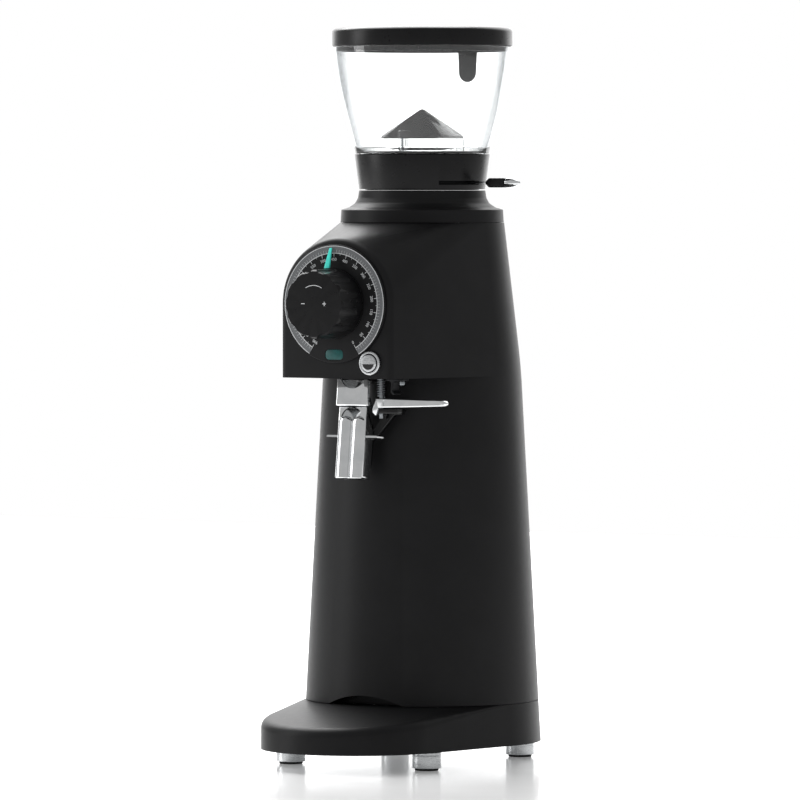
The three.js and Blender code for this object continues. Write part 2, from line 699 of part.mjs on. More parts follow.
function upperCarrier() {
  const bottom = LOWER_BURR_BOTTOM + 2 * BURR_THICKNESS + BURR_GAP + GAP;
  return turned([
    [BURR_HOLE, bottom], [60, bottom], [60, 390], [68, 390], [68, 398], [41.8, 398],
    [41.8, 430], [34.5, 430], [34.5, 401], [BURR_HOLE, 397],
  ]);
}

function burr(bottom, upward) {
  const body = ring(BURR_HOLE, BURR_RADIUS, bottom, bottom + BURR_THICKNESS);
  const face = upward ? bottom + BURR_THICKNESS : bottom;
  const grooves = Array.from({ length: BURR_GROOVES }, (_, i) => {
    const groove = block(BURR_HOLE - 2, BURR_RADIUS - 8, -1.3, 1.3, face - 2, face + 2);
    return groove.rotateZ((i / BURR_GROOVES) * 2 * Math.PI);
  });
  return cut(solid(body), ...grooves);
}

function burrSpring() {
  return ring(63.4, 66.6, CHAMBER_RIM + GAP, 390 - GAP);
}

function grindChamber() {
  const body = solid(turned([
    [12, CHAMBER_BOTTOM], [CHAMBER_RADIUS, CHAMBER_BOTTOM], [CHAMBER_RADIUS, CHAMBER_RIM],
    [62, CHAMBER_RIM], [62, 348.7], [BEARING_RADIUS + GAP, 348.7],
    [BEARING_RADIUS + GAP, CHAMBER_BOTTOM + 3], [12, CHAMBER_BOTTOM + 3],
  ]));
  return cut(body, block(-12.5, 12.5, -80, -50, 352, 366));
}

function lowerCarrier() {
  const bottom = 350;
  const top = LOWER_BURR_BOTTOM - GAP;
  const disc = turned([
    [DRIVE_RADIUS + GAP, bottom], [58, bottom], [58, top - 2], [BURR_RADIUS, top],
    [20, top], [20, top + 3], [DRIVE_RADIUS + GAP, top + 3],
  ]);
  const sweepers = Array.from({ length: 4 }, (_, i) => (
    block(56, 61.2, -1.5, 1.5, bottom + 0.5, top - 3).rotateZ((i / 4) * 2 * Math.PI)
  ));
  return join(disc, ...sweepers);
}

function carrierNut() {
  const bottom = LOWER_BURR_BOTTOM + 3 + GAP;
  const hole = rod(DRIVE_RADIUS - 2 + GAP, bottom - 1, bottom + 8);
  return cut(solid(rod(14, bottom, bottom + 7, 6)), hole);
}

// ---- motor ----
function motorHousing() {
  const inner = MOTOR_RADIUS - MOTOR_WALL;
  const seat = MOTOR_BOTTOM + MOTOR_FLOOR;
  return turned([
    [11.3, MOTOR_BOTTOM], [MOTOR_RADIUS, MOTOR_BOTTOM], [MOTOR_RADIUS, MOTOR_TOP - GAP],
    [inner, MOTOR_TOP - GAP], [inner, MOTOR_BOTTOM + 8], [BEARING_RADIUS + GAP, MOTOR_BOTTOM + 8],
    [BEARING_RADIUS + GAP, seat], [11.3, seat],
  ]);
}

function motorStator() {
  return ring(42.5, MOTOR_RADIUS - MOTOR_WALL - GAP, 125, 238);
}

function motorRotor() {
  return ring(DRIVE_RADIUS + GAP, 42, 130, 234, SMALL_SIDES);
}

function driveShaft() {
  return turned([
    [0, 99], [DRIVE_RADIUS, 99], [DRIVE_RADIUS, LOWER_BURR_BOTTOM + 3],
    [DRIVE_RADIUS - 2, LOWER_BURR_BOTTOM + 3], [DRIVE_RADIUS - 2, LOWER_BURR_BOTTOM + 12],
    [0, LOWER_BURR_BOTTOM + 12],
  ], SMALL_SIDES);
}

function bearing(bottom) {
  return ring(DRIVE_RADIUS + GAP, BEARING_RADIUS, bottom, bottom + BEARING_HEIGHT, SMALL_SIDES);
}

function coolingFan() {
  const middle = 250;
  const hub = ring(DRIVE_RADIUS + GAP, 20, middle - 6, middle + 6, SMALL_SIDES);
  const blades = Array.from({ length: 8 }, (_, i) => {
    const blade = block(18, 62, -1, 1, -6, 6).rotateX(radians(25));
    return blade.rotateZ((i / 8) * 2 * Math.PI).translate(0, 0, middle);
  });
  return join(hub, ...blades);
}

function motorBracket() {
  return turned([
    [12, MOTOR_TOP], [86, MOTOR_TOP], [86, MOTOR_TOP + 6], [12, MOTOR_TOP + 6],
  ]);
}

function runCapacitor() {
  const can = rod(9.5, 118, 176, TINY_SIDES);
  const angle = radians(215);
  const reach = MOTOR_RADIUS + 11;
  return can.translate(reach * Math.sin(angle), -reach * Math.cos(angle), 0);
}

function controlBoard() {
  return block(-26, 26, -85.6, -84, 160, 220);
}

// ---- feed and outlet ----
function feedThroat() {
  return turned([
    [THROAT_RADIUS, 403], [33.2, 403], [33.5, 500], [38, 507.7], [35, 507.7],
    [THROAT_RADIUS, 500],
  ], SMALL_SIDES);
}

function outletChute() {
  const bottom = HEAD_BOTTOM + SHELL_WALL + GAP;
  const tube = block(-15, 15, -125, -CHAMBER_RADIUS - GAP, bottom, 368.5);
  const spigot = block(
    -SPIGOT_HALF_WIDTH, SPIGOT_HALF_WIDTH, SPOUT_Y - SPIGOT_HALF_DEPTH,
    SPOUT_Y + SPIGOT_HALF_DEPTH, HEAD_BOTTOM + 0.4, bottom + 1,
  );
  return cut(
    join(tube, spigot),
    block(-12.5, 12.5, -122.5, -CHAMBER_RADIUS + 1, 352, 366),
    block(-11, 11, SPOUT_Y - 6, SPOUT_Y + 6, HEAD_BOTTOM - 1, 353),
  );
}

// ---- spout and bag clamp ----
function leaning(geometry) {
  geometry.translate(0, -SPOUT_Y, -HEAD_BOTTOM);
  return geometry.rotateX(-radians(SPOUT_LEAN)).translate(0, SPOUT_Y, HEAD_BOTTOM);
}

function channel(width, depth, bottom, top, wall) {
  const outer = block(-width / 2, width / 2, SPOUT_Y - depth / 2, SPOUT_Y + depth / 2, bottom, top);
  const inner = block(
    -width / 2 + wall, width / 2 - wall, SPOUT_Y - depth / 2 + wall, SPOUT_Y + depth / 2 - wall,
    bottom - 1, top + 1,
  );
  return cut(solid(outer), inner);
}

function archTool(radius, height, yFront, yBack) {
  const tool = rod(radius, -yBack, -yFront, SMALL_SIDES);
  return facing(tool, 0, 0, height);
}

function spoutBlock() {
  const top = HEAD_BOTTOM - GAP - 1.6;
  const width = SPOUT_WIDTH + 4;
  const depth = SPOUT_DEPTH + 6;
  const body = channel(width, depth, SPOUT_BLOCK_BOTTOM, top, 2.6);
  const mouth = archTool(13, top + 4, SPOUT_Y - depth, SPOUT_Y - depth / 2 + 4);
  return leaning(geometryOf(cut(body, mouth)));
}

// Two thin ears on the sides of the chute, made before it leans.
function chuteEars() {
  const height = HEAD_BOTTOM - (HEAD_BOTTOM - EAR_HEIGHT) / Math.cos(radians(SPOUT_LEAN));
  const bottom = height - EAR_THICKNESS / 2;
  const oval = rod(EAR_REACH, bottom, bottom + EAR_THICKNESS, SIDES).scale(1, EAR_FLATNESS, 1);
  const kept = block(
    -EAR_REACH, EAR_REACH, SPOUT_Y - 5.5, SPOUT_Y + 6.5, bottom - PAST, bottom + 2 * EAR_THICKNESS,
  );
  return solid(oval.translate(0, SPOUT_Y + 2, 0)).intersect(solid(kept));
}

// The front of the chute is open in an arch over a tongue with two rounded lobes.
function spoutChute() {
  const top = SPOUT_BLOCK_BOTTOM - GAP;
  const half = SPOUT_WIDTH / 2;
  const front = SPOUT_Y - SPOUT_DEPTH / 2;
  const back = SPOUT_Y + SPOUT_DEPTH / 2;
  const sill = top - WINDOW_DROP;
  const arched = solid(archTool(WINDOW_RADIUS, sill + 1.5, SPOUT_Y - SPOUT_DEPTH, front + 3));
  const window = arched.intersect(solid(block(-half, half, front - 9, front + 4, sill, top + PAST)));
  const lobes = [-1, 1].map((side) => {
    const crown = top - LOBE_DROP;
    const outline = [
      [0, SPOUT_TIP], [LOBE_RADIUS, SPOUT_TIP], [LOBE_RADIUS, crown - 4], [4.9, crown - 1.2],
      [0, crown],
    ];
    const lobe = turned(outline, 16).scale(1, LOBE_FLATNESS, 1);
    return lobe.translate(side * LOBE_OFFSET, front + 1, 0);
  });
  const body = channel(SPOUT_WIDTH, SPOUT_DEPTH, SPOUT_TIP, top, CHUTE_WALL).add(chuteEars());
  const tongued = lobes.reduce((sum, lobe) => sum.add(solid(lobe)), body.subtract(window));
  const bore = block(
    CHUTE_WALL - half, half - CHUTE_WALL, front + CHUTE_WALL, back - CHUTE_WALL,
    SPOUT_TIP - PAST, top + PAST,
  );
  return leaning(geometryOf(cut(tongued, bore)));
}

function clampLever() {
  const tip = CLAMP_REACH;
  const root = CLAMP_PIVOT_X - 4;
  const sections = [
    [root, 4, -4.4, 4.2], [tip - 4, 3.4, -2.2, 3.4], [tip, 1.6, -1.4, 2.6],
  ];
  const bar = hull(sections.flatMap(([x, half, low, high]) => (
    [-half, half].flatMap((y) => [low, high].map((z) => (
      new THREE.Vector3(x, CLAMP_Y + y, CLAMP_HEIGHT + z)
    )))
  )));
  const outline = [[18, 315.5], [18, 318.5], [root + 1, 327.5], [root + 3, 319], [21.5, 312.5]];
  const hub = hull(outline.flatMap(([x, z]) => (
    [-4, 4].map((y) => new THREE.Vector3(x, CLAMP_Y + y, z))
  )));
  const pinHole = rod(CLAMP_PIN_RADIUS + GAP, 300, 340, TINY_SIDES).translate(CLAMP_PIVOT_X, CLAMP_Y, 0);
  return cut(join(bar, hub), pinHole);
}

function clampPin() {
  return rod(CLAMP_PIN_RADIUS, 310, HEAD_BOTTOM - GAP, TINY_SIDES).translate(CLAMP_PIVOT_X, CLAMP_Y, 0);
}

// The jaw hangs behind the chute from a plate under the lever.
function clampJaw() {
  const shape = new THREE.Shape();
  shape.moveTo(24, 318.9);
  shape.lineTo(44, 318.9);
  shape.lineTo(42, 314.4);
  shape.lineTo(34, 313.6);
  shape.lineTo(16, 292);
  shape.lineTo(12, 290);
  shape.lineTo(11.5, 270);
  shape.quadraticCurveTo(11, 262.5, 0, 262);
  shape.quadraticCurveTo(-11, 262.5, -11.5, 270);
  shape.lineTo(-12, 297);
  shape.lineTo(14, 299);
  const settings = { depth: 5, bevelEnabled: false, curveSegments: 4 };
  const web = new THREE.ExtrudeGeometry(shape, settings).rotateX(Math.PI / 2);
  web.translate(0, SPOUT_Y + SPOUT_DEPTH / 2 + GAP + 5, 0);
  const plate = block(22.5, 44, CLAMP_Y - 4, CLAMP_Y + 9, 314.4, 318.9);
  const pinHole = rod(CLAMP_PIN_RADIUS + GAP, 300, 340, TINY_SIDES).translate(CLAMP_PIVOT_X, CLAMP_Y, 0);
  const hubSpace = block(10, 24.6, CLAMP_Y - 10, CLAMP_Y + 4.3, 310, 322);
  return cut(join(leaning(web), plate), pinHole, hubSpace);
}

function clampBracket() {
  const top = HEAD_BOTTOM - GAP;
  const under = top - 2.2;
  const shape = new THREE.Shape();
  shape.moveTo(34, top);
  shape.lineTo(34, under);
  shape.quadraticCurveTo(39, 343, 38.6, 337);
  shape.quadraticCurveTo(38, 333, 41, 331);
  shape.lineTo(42.5, 332.2);
  shape.quadraticCurveTo(39.8, 334, 40.3, 338);
  shape.quadraticCurveTo(40.5, 342, 42, under);
  shape.lineTo(50, under);
  shape.lineTo(50, top);
  const settings = { depth: 12, bevelEnabled: false, curveSegments: 5 };
  const plate = new THREE.ExtrudeGeometry(shape, settings).rotateX(Math.PI / 2);
  return plate.translate(0, CLAMP_Y + 6, 0);
}

function bracketScrew() {
  return rod(2.6, 339.5, 343.2, TINY_SIDES).translate(46.5, CLAMP_Y, 0);
}

function clampSpring() {
  const spring = ring(2.2, 4, CLAMP_HEIGHT + 4.6, HEAD_BOTTOM - GAP, TINY_SIDES);
  return spring.translate(CLAMP_PIVOT_X, CLAMP_Y, 0);
}

// ---- assembly ----
const machine = new THREE.Group();
machine.position.y = AXIS_Y;

function piece(name, shape, material) {
  const geometry = shape.isBufferGeometry ? geometryOf(solid(shape)) : geometryOf(shape);
  const mesh = new THREE.Mesh(geometry, material);
  mesh.name = name;
  machine.add(mesh);
}

piece('base_casting', baseCasting(), satinBlack);
piece('base_plate', basePlate(), satinSteel);
Object.entries(footPlaces()).forEach(([corner, [x, y]]) => {
  piece(`foot_${corner}`, foot().translate(x, y, 0), satinSteel);
  piece(`pad_${corner}`, rod(PAD_RADIUS, 0, PAD_HEIGHT).translate(x, y, 0), rubber);
});
piece('body_shell', bodyShell(), satinBlack);
piece('top_cover', topCover(), satinBlack);
piece('cord_gland', cordGland(), mouldedBlack);

piece('hopper_collar', hopperCollar(), mouldedBlack);
piece('hopper_jar', hopperJar(), clearPlastic);
piece('hopper_lid', hopperLid(), mouldedBlack);
piece('guard_cap', guardCap(), mouldedBlack);
piece('guard_screw', guardScrew(), hardSteel);
piece('gate_disc', gateDisc(), satinSteel);
piece('gate_lever', gateLever(), satinSteel);
piece('gate_grip', gateGrip(), rubber);
piece('gate_tip', gateTip(), chrome);

piece('dial_plate', dialPlate(), mouldedBlack);
piece('dial_window', dialWindow(), teal);
piece('adjust_knob', adjustKnob(), mouldedBlack);
piece('knob_pointer', knobPointer(), teal);
piece('button_bezel', buttonBezel(), chrome);
piece('start_button', startButton(), satinSteel);
piece('start_switch', startSwitch(), greyPlastic);

piece('knob_shaft', knobShaft(), hardSteel);
piece('knob_bush', knobBush(), brass);
piece('adjust_ring', adjustRing(), brass);
piece('upper_carrier', upperCarrier(), castAluminium);
const upperBurrBottom = LOWER_BURR_BOTTOM + BURR_THICKNESS + BURR_GAP;
piece('upper_burr', burr(upperBurrBottom, false), hardSteel);
piece('burr_spring', burrSpring(), hardSteel);
piece('lower_burr', burr(LOWER_BURR_BOTTOM, true), hardSteel);
piece('lower_carrier', lowerCarrier(), castAluminium);
piece('carrier_nut', carrierNut(), hardSteel);
piece('grind_chamber', grindChamber(), castAluminium);
piece('feed_throat', feedThroat(), mouldedBlack);
piece('outlet_chute', outletChute(), castAluminium);

piece('drive_shaft', driveShaft(), hardSteel);
piece('motor_housing', motorHousing(), castAluminium);
piece('motor_stator', motorStator(), laminations);
piece('motor_rotor', motorRotor(), laminations);
piece('cooling_fan', coolingFan(), mouldedBlack);
piece('motor_bracket', motorBracket(), castAluminium);
piece('bearing_lower', bearing(MOTOR_BOTTOM + MOTOR_FLOOR + GAP), hardSteel);
piece('bearing_upper', bearing(CHAMBER_BOTTOM + 3 + GAP), hardSteel);
piece('run_capacitor', runCapacitor(), greyPlastic);
piece('control_board', controlBoard(), boardGreen);

piece('spout_block', spoutBlock(), chrome);
piece('spout_chute', spoutChute(), chrome);
piece('clamp_lever', clampLever(), chrome);
piece('clamp_pin', clampPin(), hardSteel);
piece('clamp_jaw', clampJaw(), mouldedBlack);
piece('clamp_bracket', clampBracket(), satinSteel);
piece('bracket_screw', bracketScrew(), hardSteel);
piece('clamp_spring', clampSpring(), hardSteel);

export default machine;
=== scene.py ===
import math

import bmesh
import bpy
from mathutils import Matrix, Vector


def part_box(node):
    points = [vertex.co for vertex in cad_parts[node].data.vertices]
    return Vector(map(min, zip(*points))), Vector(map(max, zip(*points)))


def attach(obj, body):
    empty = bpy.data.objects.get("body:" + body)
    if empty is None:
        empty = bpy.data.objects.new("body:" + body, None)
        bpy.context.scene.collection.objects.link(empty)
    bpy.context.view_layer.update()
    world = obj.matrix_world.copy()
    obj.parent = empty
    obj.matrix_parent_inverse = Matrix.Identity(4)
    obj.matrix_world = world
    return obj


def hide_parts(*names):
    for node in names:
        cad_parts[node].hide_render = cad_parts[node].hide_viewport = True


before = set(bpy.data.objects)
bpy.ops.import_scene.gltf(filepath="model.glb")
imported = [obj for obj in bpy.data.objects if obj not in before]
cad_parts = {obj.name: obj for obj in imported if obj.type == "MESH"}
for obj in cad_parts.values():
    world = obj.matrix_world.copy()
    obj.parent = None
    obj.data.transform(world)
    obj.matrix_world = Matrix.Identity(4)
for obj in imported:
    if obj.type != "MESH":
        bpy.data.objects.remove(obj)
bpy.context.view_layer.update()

# ---- sizes in millimetres, from the axis of the machine and from the floor ----
MM = 0.001
ROUND_STEPS = 160                # facets round the large shells
SMALL_STEPS = 64                 # facets round the small turned pieces
FILLET_STEPS = 5                 # facets along a rounded edge
PAST = 1.0                       # how far a cutting tool runs past the face it cuts
GAP = 0.3                        # clearance between a piece and the one it sits on


def span(node):
    """The lowest and highest corners of a CAD node in millimetres."""
    low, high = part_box(node)
    return low / MM, high / MM


JAR_LOW, JAR_HIGH = span("hopper_jar")
AXIS_Y = (JAR_LOW.y + JAR_HIGH.y) / 2          # the column, hopper, burrs and motor share this axis

BASE_LOW, BASE_HIGH = span("base_casting")
BASE_BOTTOM = BASE_LOW.z
BASE_SEAT = BASE_HIGH.z
BASE_RADIUS = BASE_HIGH.y - AXIS_Y
FRONT_REACH = 113.0                            # axis to the centre of the base's front arc
FRONT_RADIUS = AXIS_Y - BASE_LOW.y - FRONT_REACH
RIM_FRONT = 39.7
RIM_SLOPE = 0.0965
RIM_ROUND = 8.0
BASE_WALL = 4.0

SHELL_LOW, SHELL_HIGH = span("body_shell")
SHELL_BOTTOM = SHELL_LOW.z
SHELL_TOP = SHELL_HIGH.z
SHELL_WALL = 3.0
FOOT_RADIUS = SHELL_HIGH.y - AXIS_Y
NECK_RADIUS, NECK_HEIGHT = 89.7, 338.0         # where the straight taper ends
SHOULDER = [(87.1, 386.0), (76.4, 434.0)]      # control points of the shoulder curve
TOP_RADIUS = 73.8
HEAD_BOTTOM = 346.0
HEAD_FRONT = SHELL_LOW.y - AXIS_Y
HEAD_HALF_WIDTH = 58.0
HEAD_ROUND = 6.0
ARCH_WIDTH, ARCH_RISE, ARCH_DEPTH = 78.0, 9.0, 24.0
GLAND_HEIGHT = 78.0
SHAFT_BORE, GLAND_BORE = 9.3, 9.3
STUD_RADIUS, STUD_HOLE = 3.8, 4.2

DIAL_LOW, DIAL_HIGH = span("dial_plate")
DIAL_HEIGHT = (DIAL_LOW.z + DIAL_HIGH.z) / 2
DIAL_RADIUS = (DIAL_HIGH.x - DIAL_LOW.x) / 2
DIAL_FACE = HEAD_FRONT - (DIAL_LOW.y - AXIS_Y)  # how far the dial's face stands out of the head
DIAL_START = -60.0                             # degrees, anticlockwise from +X, of the first number
DIAL_SWEEP = 300.0                             # degrees from the first number to the last
DIAL_LAST = 900
PRINT_SINK = 0.02                              # how deep the print starts in the dial's face
KNOB_LOW, KNOB_HIGH = span("adjust_knob")
KNOB_RADIUS = 31.0
KNOB_BACK = HEAD_FRONT - (KNOB_HIGH.y - AXIS_Y)
KNOB_FRONT = HEAD_FRONT - (KNOB_LOW.y - AXIS_Y)
KNOB_FLUTES = 12
FLUTE_START, FLUTE_REACH, FLUTE_BACK_RADIUS, FLUTE_FRONT_RADIUS = 8.0, 9.2, 9.5, 12.5
POINTER_LEAN = 3.0

BEZEL_LOW, BEZEL_HIGH = span("button_bezel")
BUTTON_X = (BEZEL_LOW.x + BEZEL_HIGH.x) / 2
BUTTON_HEIGHT = (BEZEL_LOW.z + BEZEL_HIGH.z) / 2
BUTTON_RADIUS = 7.6
BEZEL_RADIUS = 10.6

COLLAR_TOP = span("hopper_collar")[1].z
COLLAR_BOTTOM = 512.7
NECK_TOP = span("top_cover")[1].z
JAR_TOP = JAR_HIGH.z
JAR_TOP_RADIUS = (JAR_HIGH.x - JAR_LOW.x) / 2
JAR_WALL = 2.8
THROAT_RADIUS = 30.5
POST_CIRCLE, POST_RADIUS = 34.3, 3.5
LID_LOW, LID_HIGH = span("hopper_lid")
LID_RADIUS = (LID_HIGH.x - LID_LOW.x) / 2
LID_TOP = LID_HIGH.z
GUARD_RIM = span("guard_cap")[0].z
SHUTTER_HEIGHT = 518.5
LEVER_ANGLE, LEVER_TRAVEL = 87.0, 35.0         # degrees from the front towards +X
LEVER_REACH, TIP_START = 105.5, 90.6

SPOUT_Y = -109.0
SPOUT_WIDTH, SPOUT_DEPTH, SPOUT_LEAN = 28.4, 15.0, 7.0
BLOCK_BOTTOM = 319.7
SPOUT_TIP = 255.5
CHUTE_WALL = 2.0
WINDOW_RADIUS, WINDOW_DROP = 11.5, 13.4
LOBE_RADIUS, LOBE_OFFSET, LOBE_FLATNESS, LOBE_DROP = 6.6, 7.0, 0.55, 8.4
EAR_HEIGHT, EAR_REACH, EAR_FLATNESS, EAR_THICKNESS = 293.4, 28.5, 0.64, 1.8
CLAMP_Y, CLAMP_PIVOT_X, CLAMP_HEIGHT, CLAMP_REACH = -112.0, 25.0, 323.7, 92.8


# ---- camera, floor and lights ----
CAMERA_AZIMUTH = math.radians(31)
CAMERA_DISTANCE = 6.3
CAMERA_LENS = 315
CAMERA_HEIGHT = 0.521
LOOK_HEIGHT = 0.323
LOOK_LEFT = 0.020                # the view is centred a little to the left of the axis
FLOOR_REACH = 3.6                # metres from the middle to an edge, short of the backdrop
FLOOR_DROP = 0.0002              # metres below the pads, so that the faces don't share a plane


def aim(obj, target):
    obj.rotation_euler = (Vector(target) - obj.location).to_track_quat("-Z", "Y").to_euler()


def add_camera():
    data = bpy.data.cameras.new("camera")
    data.lens = CAMERA_LENS
    data.sensor_width = 36
    camera = bpy.data.objects.new("camera", data)
    bpy.context.scene.collection.objects.link(camera)
    sine, cosine = math.sin(CAMERA_AZIMUTH), math.cos(CAMERA_AZIMUTH)
    axis_y = AXIS_Y * MM
    camera.location = (CAMERA_DISTANCE * sine, axis_y - CAMERA_DISTANCE * cosine, CAMERA_HEIGHT)
    aim(camera, (-LOOK_LEFT * cosine, axis_y - LOOK_LEFT * sine, LOOK_HEIGHT))
    bpy.context.scene.camera = camera


def add_softbox(name, place, size, power, target=(0, 0, 0.35)):
    data = bpy.data.lights.new(name, "AREA")
    data.shape = "RECTANGLE"
    data.size, data.size_y = size
    data.energy = power
    lamp = bpy.data.objects.new(name, data)
    bpy.context.scene.collection.objects.link(lamp)
    lamp.location = place
    aim(lamp, target)


# ---- small tools for materials ----
def linear(code):
    """An sRGB hex colour as the linear colour that the shader wants."""
    parts = [int(code[i:i + 2], 16) / 255 for i in (1, 3, 5)]
    return [c / 12.92 if c <= 0.04045 else ((c + 0.055) / 1.055) ** 2.4 for c in parts] + [1.0]


def per_mm(size):
    """The texture scale, on Object coordinates in metres, of a pattern this many mm across."""
    return 1 / (size * MM)


def add(tree, kind, inputs=None, **settings):
    """Adds a node, sets it up and links or fills its inputs."""
    made = tree.nodes.new(kind)
    for key, value in settings.items():
        setattr(made, key, value)
    for key, value in (inputs or {}).items():
        if isinstance(value, bpy.types.NodeSocket):
            tree.links.new(value, made.inputs[key])
        else:
            made.inputs[key].default_value = value
    return made


def surface(name, **values):
    """A material with one Principled shader; returns the material, its tree and shader."""
    material = bpy.data.materials.new(name)
    material.use_nodes = True
    tree = material.node_tree
    tree.nodes.clear()
    shader = add(tree, "ShaderNodeBsdfPrincipled")
    for key, value in values.items():
        shader.inputs[key.replace("_", " ")].default_value = value
    add(tree, "ShaderNodeOutputMaterial", {"Surface": shader.outputs["BSDF"]})
    return material, tree, shader


def between(tree, factor, low, high):
    """Maps a 0 to 1 pattern onto a range."""
    made = add(tree, "ShaderNodeMapRange", {"Value": factor, "To Min": low, "To Max": high})
    return made.outputs["Result"]


def tint(tree, factor, first, second):
    """Mixes two hex colours by a pattern."""
    ramp = add(tree, "ShaderNodeValToRGB", {"Fac": factor})
    ramp.color_ramp.elements[0].position = 0.35
    ramp.color_ramp.elements[1].position = 0.65
    ramp.color_ramp.elements[0].color = linear(first)
    ramp.color_ramp.elements[1].color = linear(second)
    return ramp.outputs["Color"]


def grain(tree, size, detail=3.0, stretch=(1, 1, 1)):
    """Even noise of this size in mm, stretched along an axis where a tool ran."""
    where = add(tree, "ShaderNodeTexCoord").outputs["Object"]
    placed = add(tree, "ShaderNodeMapping", {"Vector": where, "Scale": stretch})
    noise = add(tree, "ShaderNodeTexNoise", {
        "Vector": placed.outputs["Vector"], "Scale": per_mm(size), "Detail": detail,
    })
    return noise.outputs["Fac"]


def bump(tree, shader, height, strength, depth_mm):
    made = add(tree, "ShaderNodeBump", {
        "Height": height, "Strength": strength, "Distance": depth_mm * MM,
    })
    tree.links.new(made.outputs["Normal"], shader.inputs["Normal"])


def link(tree, socket, shader, name):
    tree.links.new(socket, shader.inputs[name])


# ---- materials ----
def powder_coat():
    """Powder coated cast aluminium: satin black with a very fine orange peel."""
    made, tree, shader = surface("powder_coat", IOR=1.45, Specular_IOR_Level=0.17)
    link(tree, tint(tree, grain(tree, 40), "#131314", "#161617"), shader, "Base Color")
    link(tree, between(tree, grain(tree, 6), 0.40, 0.47), shader, "Roughness")
    bump(tree, shader, grain(tree, 0.9), 0.12, 0.05)
    return made


def moulded_abs():
    """Injection moulded ABS: smooth black, with a faint sink and swirl in its gloss."""
    made, tree, shader = surface("moulded_abs", IOR=1.5, Specular_IOR_Level=0.2)
    link(tree, tint(tree, grain(tree, 25), "#0e0e0f", "#121213"), shader, "Base Color")
    link(tree, between(tree, grain(tree, 4), 0.24, 0.34), shader, "Roughness")
    bump(tree, shader, grain(tree, 0.7), 0.06, 0.03)
    return made


def polished_abs():
    """High gloss ABS of the finger guard: nearly a mirror, over black."""
    made, tree, shader = surface("polished_abs", IOR=1.5, Specular_IOR_Level=0.35)
    link(tree, tint(tree, grain(tree, 12), "#070708", "#0b0b0c"), shader, "Base Color")
    link(tree, between(tree, grain(tree, 5), 0.10, 0.17), shader, "Roughness")
    bump(tree, shader, grain(tree, 8), 0.05, 0.06)
    return made


def clear_polycarbonate():
    """Moulded clear polycarbonate: clear through the wall, with painted shade that greys its colour
    where one looks along the wall.
    """
    made, tree, shader = surface("clear_polycarbonate", IOR=1.49, Transmission_Weight=1.0)
    # painted shade: the colour turns grey as the wall is seen edge on, standing in for the jar's
    # darker edges
    painted_edge_shade = add(tree, "ShaderNodeLayerWeight", {"Blend": 0.5}).outputs["Facing"]
    link(tree, tint(tree, painted_edge_shade, "#fbfcfc", "#9fa2a4"), shader, "Base Color")
    link(tree, between(tree, grain(tree, 9), 0.008, 0.025), shader, "Roughness")
    bump(tree, shader, grain(tree, 30), 0.04, 0.08)
    return made


def chrome_plate():
    """Chrome plate on a zinc casting: bright and slightly wavy, as polished castings are."""
    made, tree, shader = surface("chrome_plate", Metallic=1.0)
    link(tree, tint(tree, grain(tree, 14), "#dcdedf", "#e6e7e8"), shader, "Base Color")
    link(tree, between(tree, grain(tree, 3), 0.07, 0.16), shader, "Roughness")
    bump(tree, shader, grain(tree, 7), 0.10, 0.10)
    return made


def turned_steel():
    """Lathe turned stainless steel: satin, with fine rings up its side."""
    made, tree, shader = surface("turned_steel", Metallic=1.0)
    rings = grain(tree, 5, 4.0, (1, 1, 14))
    link(tree, tint(tree, rings, "#b2b4b6", "#cfd1d2"), shader, "Base Color")
    link(tree, between(tree, rings, 0.20, 0.36), shader, "Roughness")
    bump(tree, shader, rings, 0.14, 0.04)
    return made


def ground_steel():
    """Ground and hardened steel: darker, with short grinding scratches."""
    made, tree, shader = surface("ground_steel", Metallic=1.0)
    scratches = grain(tree, 3, 5.0, (1, 9, 9))
    link(tree, tint(tree, scratches, "#7c8084", "#9fa3a6"), shader, "Base Color")
    link(tree, between(tree, scratches, 0.22, 0.42), shader, "Roughness")
    bump(tree, shader, scratches, 0.12, 0.03)
    return made


def blackened_steel():
    """Oil blackened steel: nearly black, with a faint sheen along the rolling grain."""
    made, tree, shader = surface("blackened_steel", Metallic=0.7)
    rolled = grain(tree, 4, 4.0, (1, 12, 1))
    link(tree, tint(tree, rolled, "#151617", "#1e1f21"), shader, "Base Color")
    link(tree, between(tree, rolled, 0.42, 0.58), shader, "Roughness")
    bump(tree, shader, rolled, 0.10, 0.03)
    return made


def cast_aluminium():
    """Sand cast aluminium: grey, with the sand's grain left in the skin."""
    made, tree, shader = surface("cast_aluminium", Metallic=1.0)
    link(tree, tint(tree, grain(tree, 5), "#9a9c9e", "#b4b6b8"), shader, "Base Color")
    link(tree, between(tree, grain(tree, 1.6), 0.42, 0.60), shader, "Roughness")
    bump(tree, shader, grain(tree, 1.2), 0.30, 0.15)
    return made


def steel_laminations():
    """Varnished sheet steel laminations: brown black sheets half a millimetre thick, stacked."""
    made, tree, shader = surface("steel_laminations", Metallic=0.6)
    sheets = grain(tree, 12, 2.0, (0.05, 0.05, 24))
    link(tree, tint(tree, sheets, "#3d332b", "#665a4e"), shader, "Base Color")
    link(tree, between(tree, sheets, 0.45, 0.70), shader, "Roughness")
    bump(tree, shader, sheets, 0.40, 0.20)
    return made


def turned_brass():
    """Turned brass: warm yellow with tool rings and a little tarnish."""
    made, tree, shader = surface("turned_brass", Metallic=1.0)
    link(tree, tint(tree, grain(tree, 9), "#a8843f", "#c29d57"), shader, "Base Color")
    link(tree, between(tree, grain(tree, 4, 4.0, (1, 1, 12)), 0.22, 0.40), shader, "Roughness")
    bump(tree, shader, grain(tree, 3, 3.0, (1, 1, 12)), 0.10, 0.04)
    return made


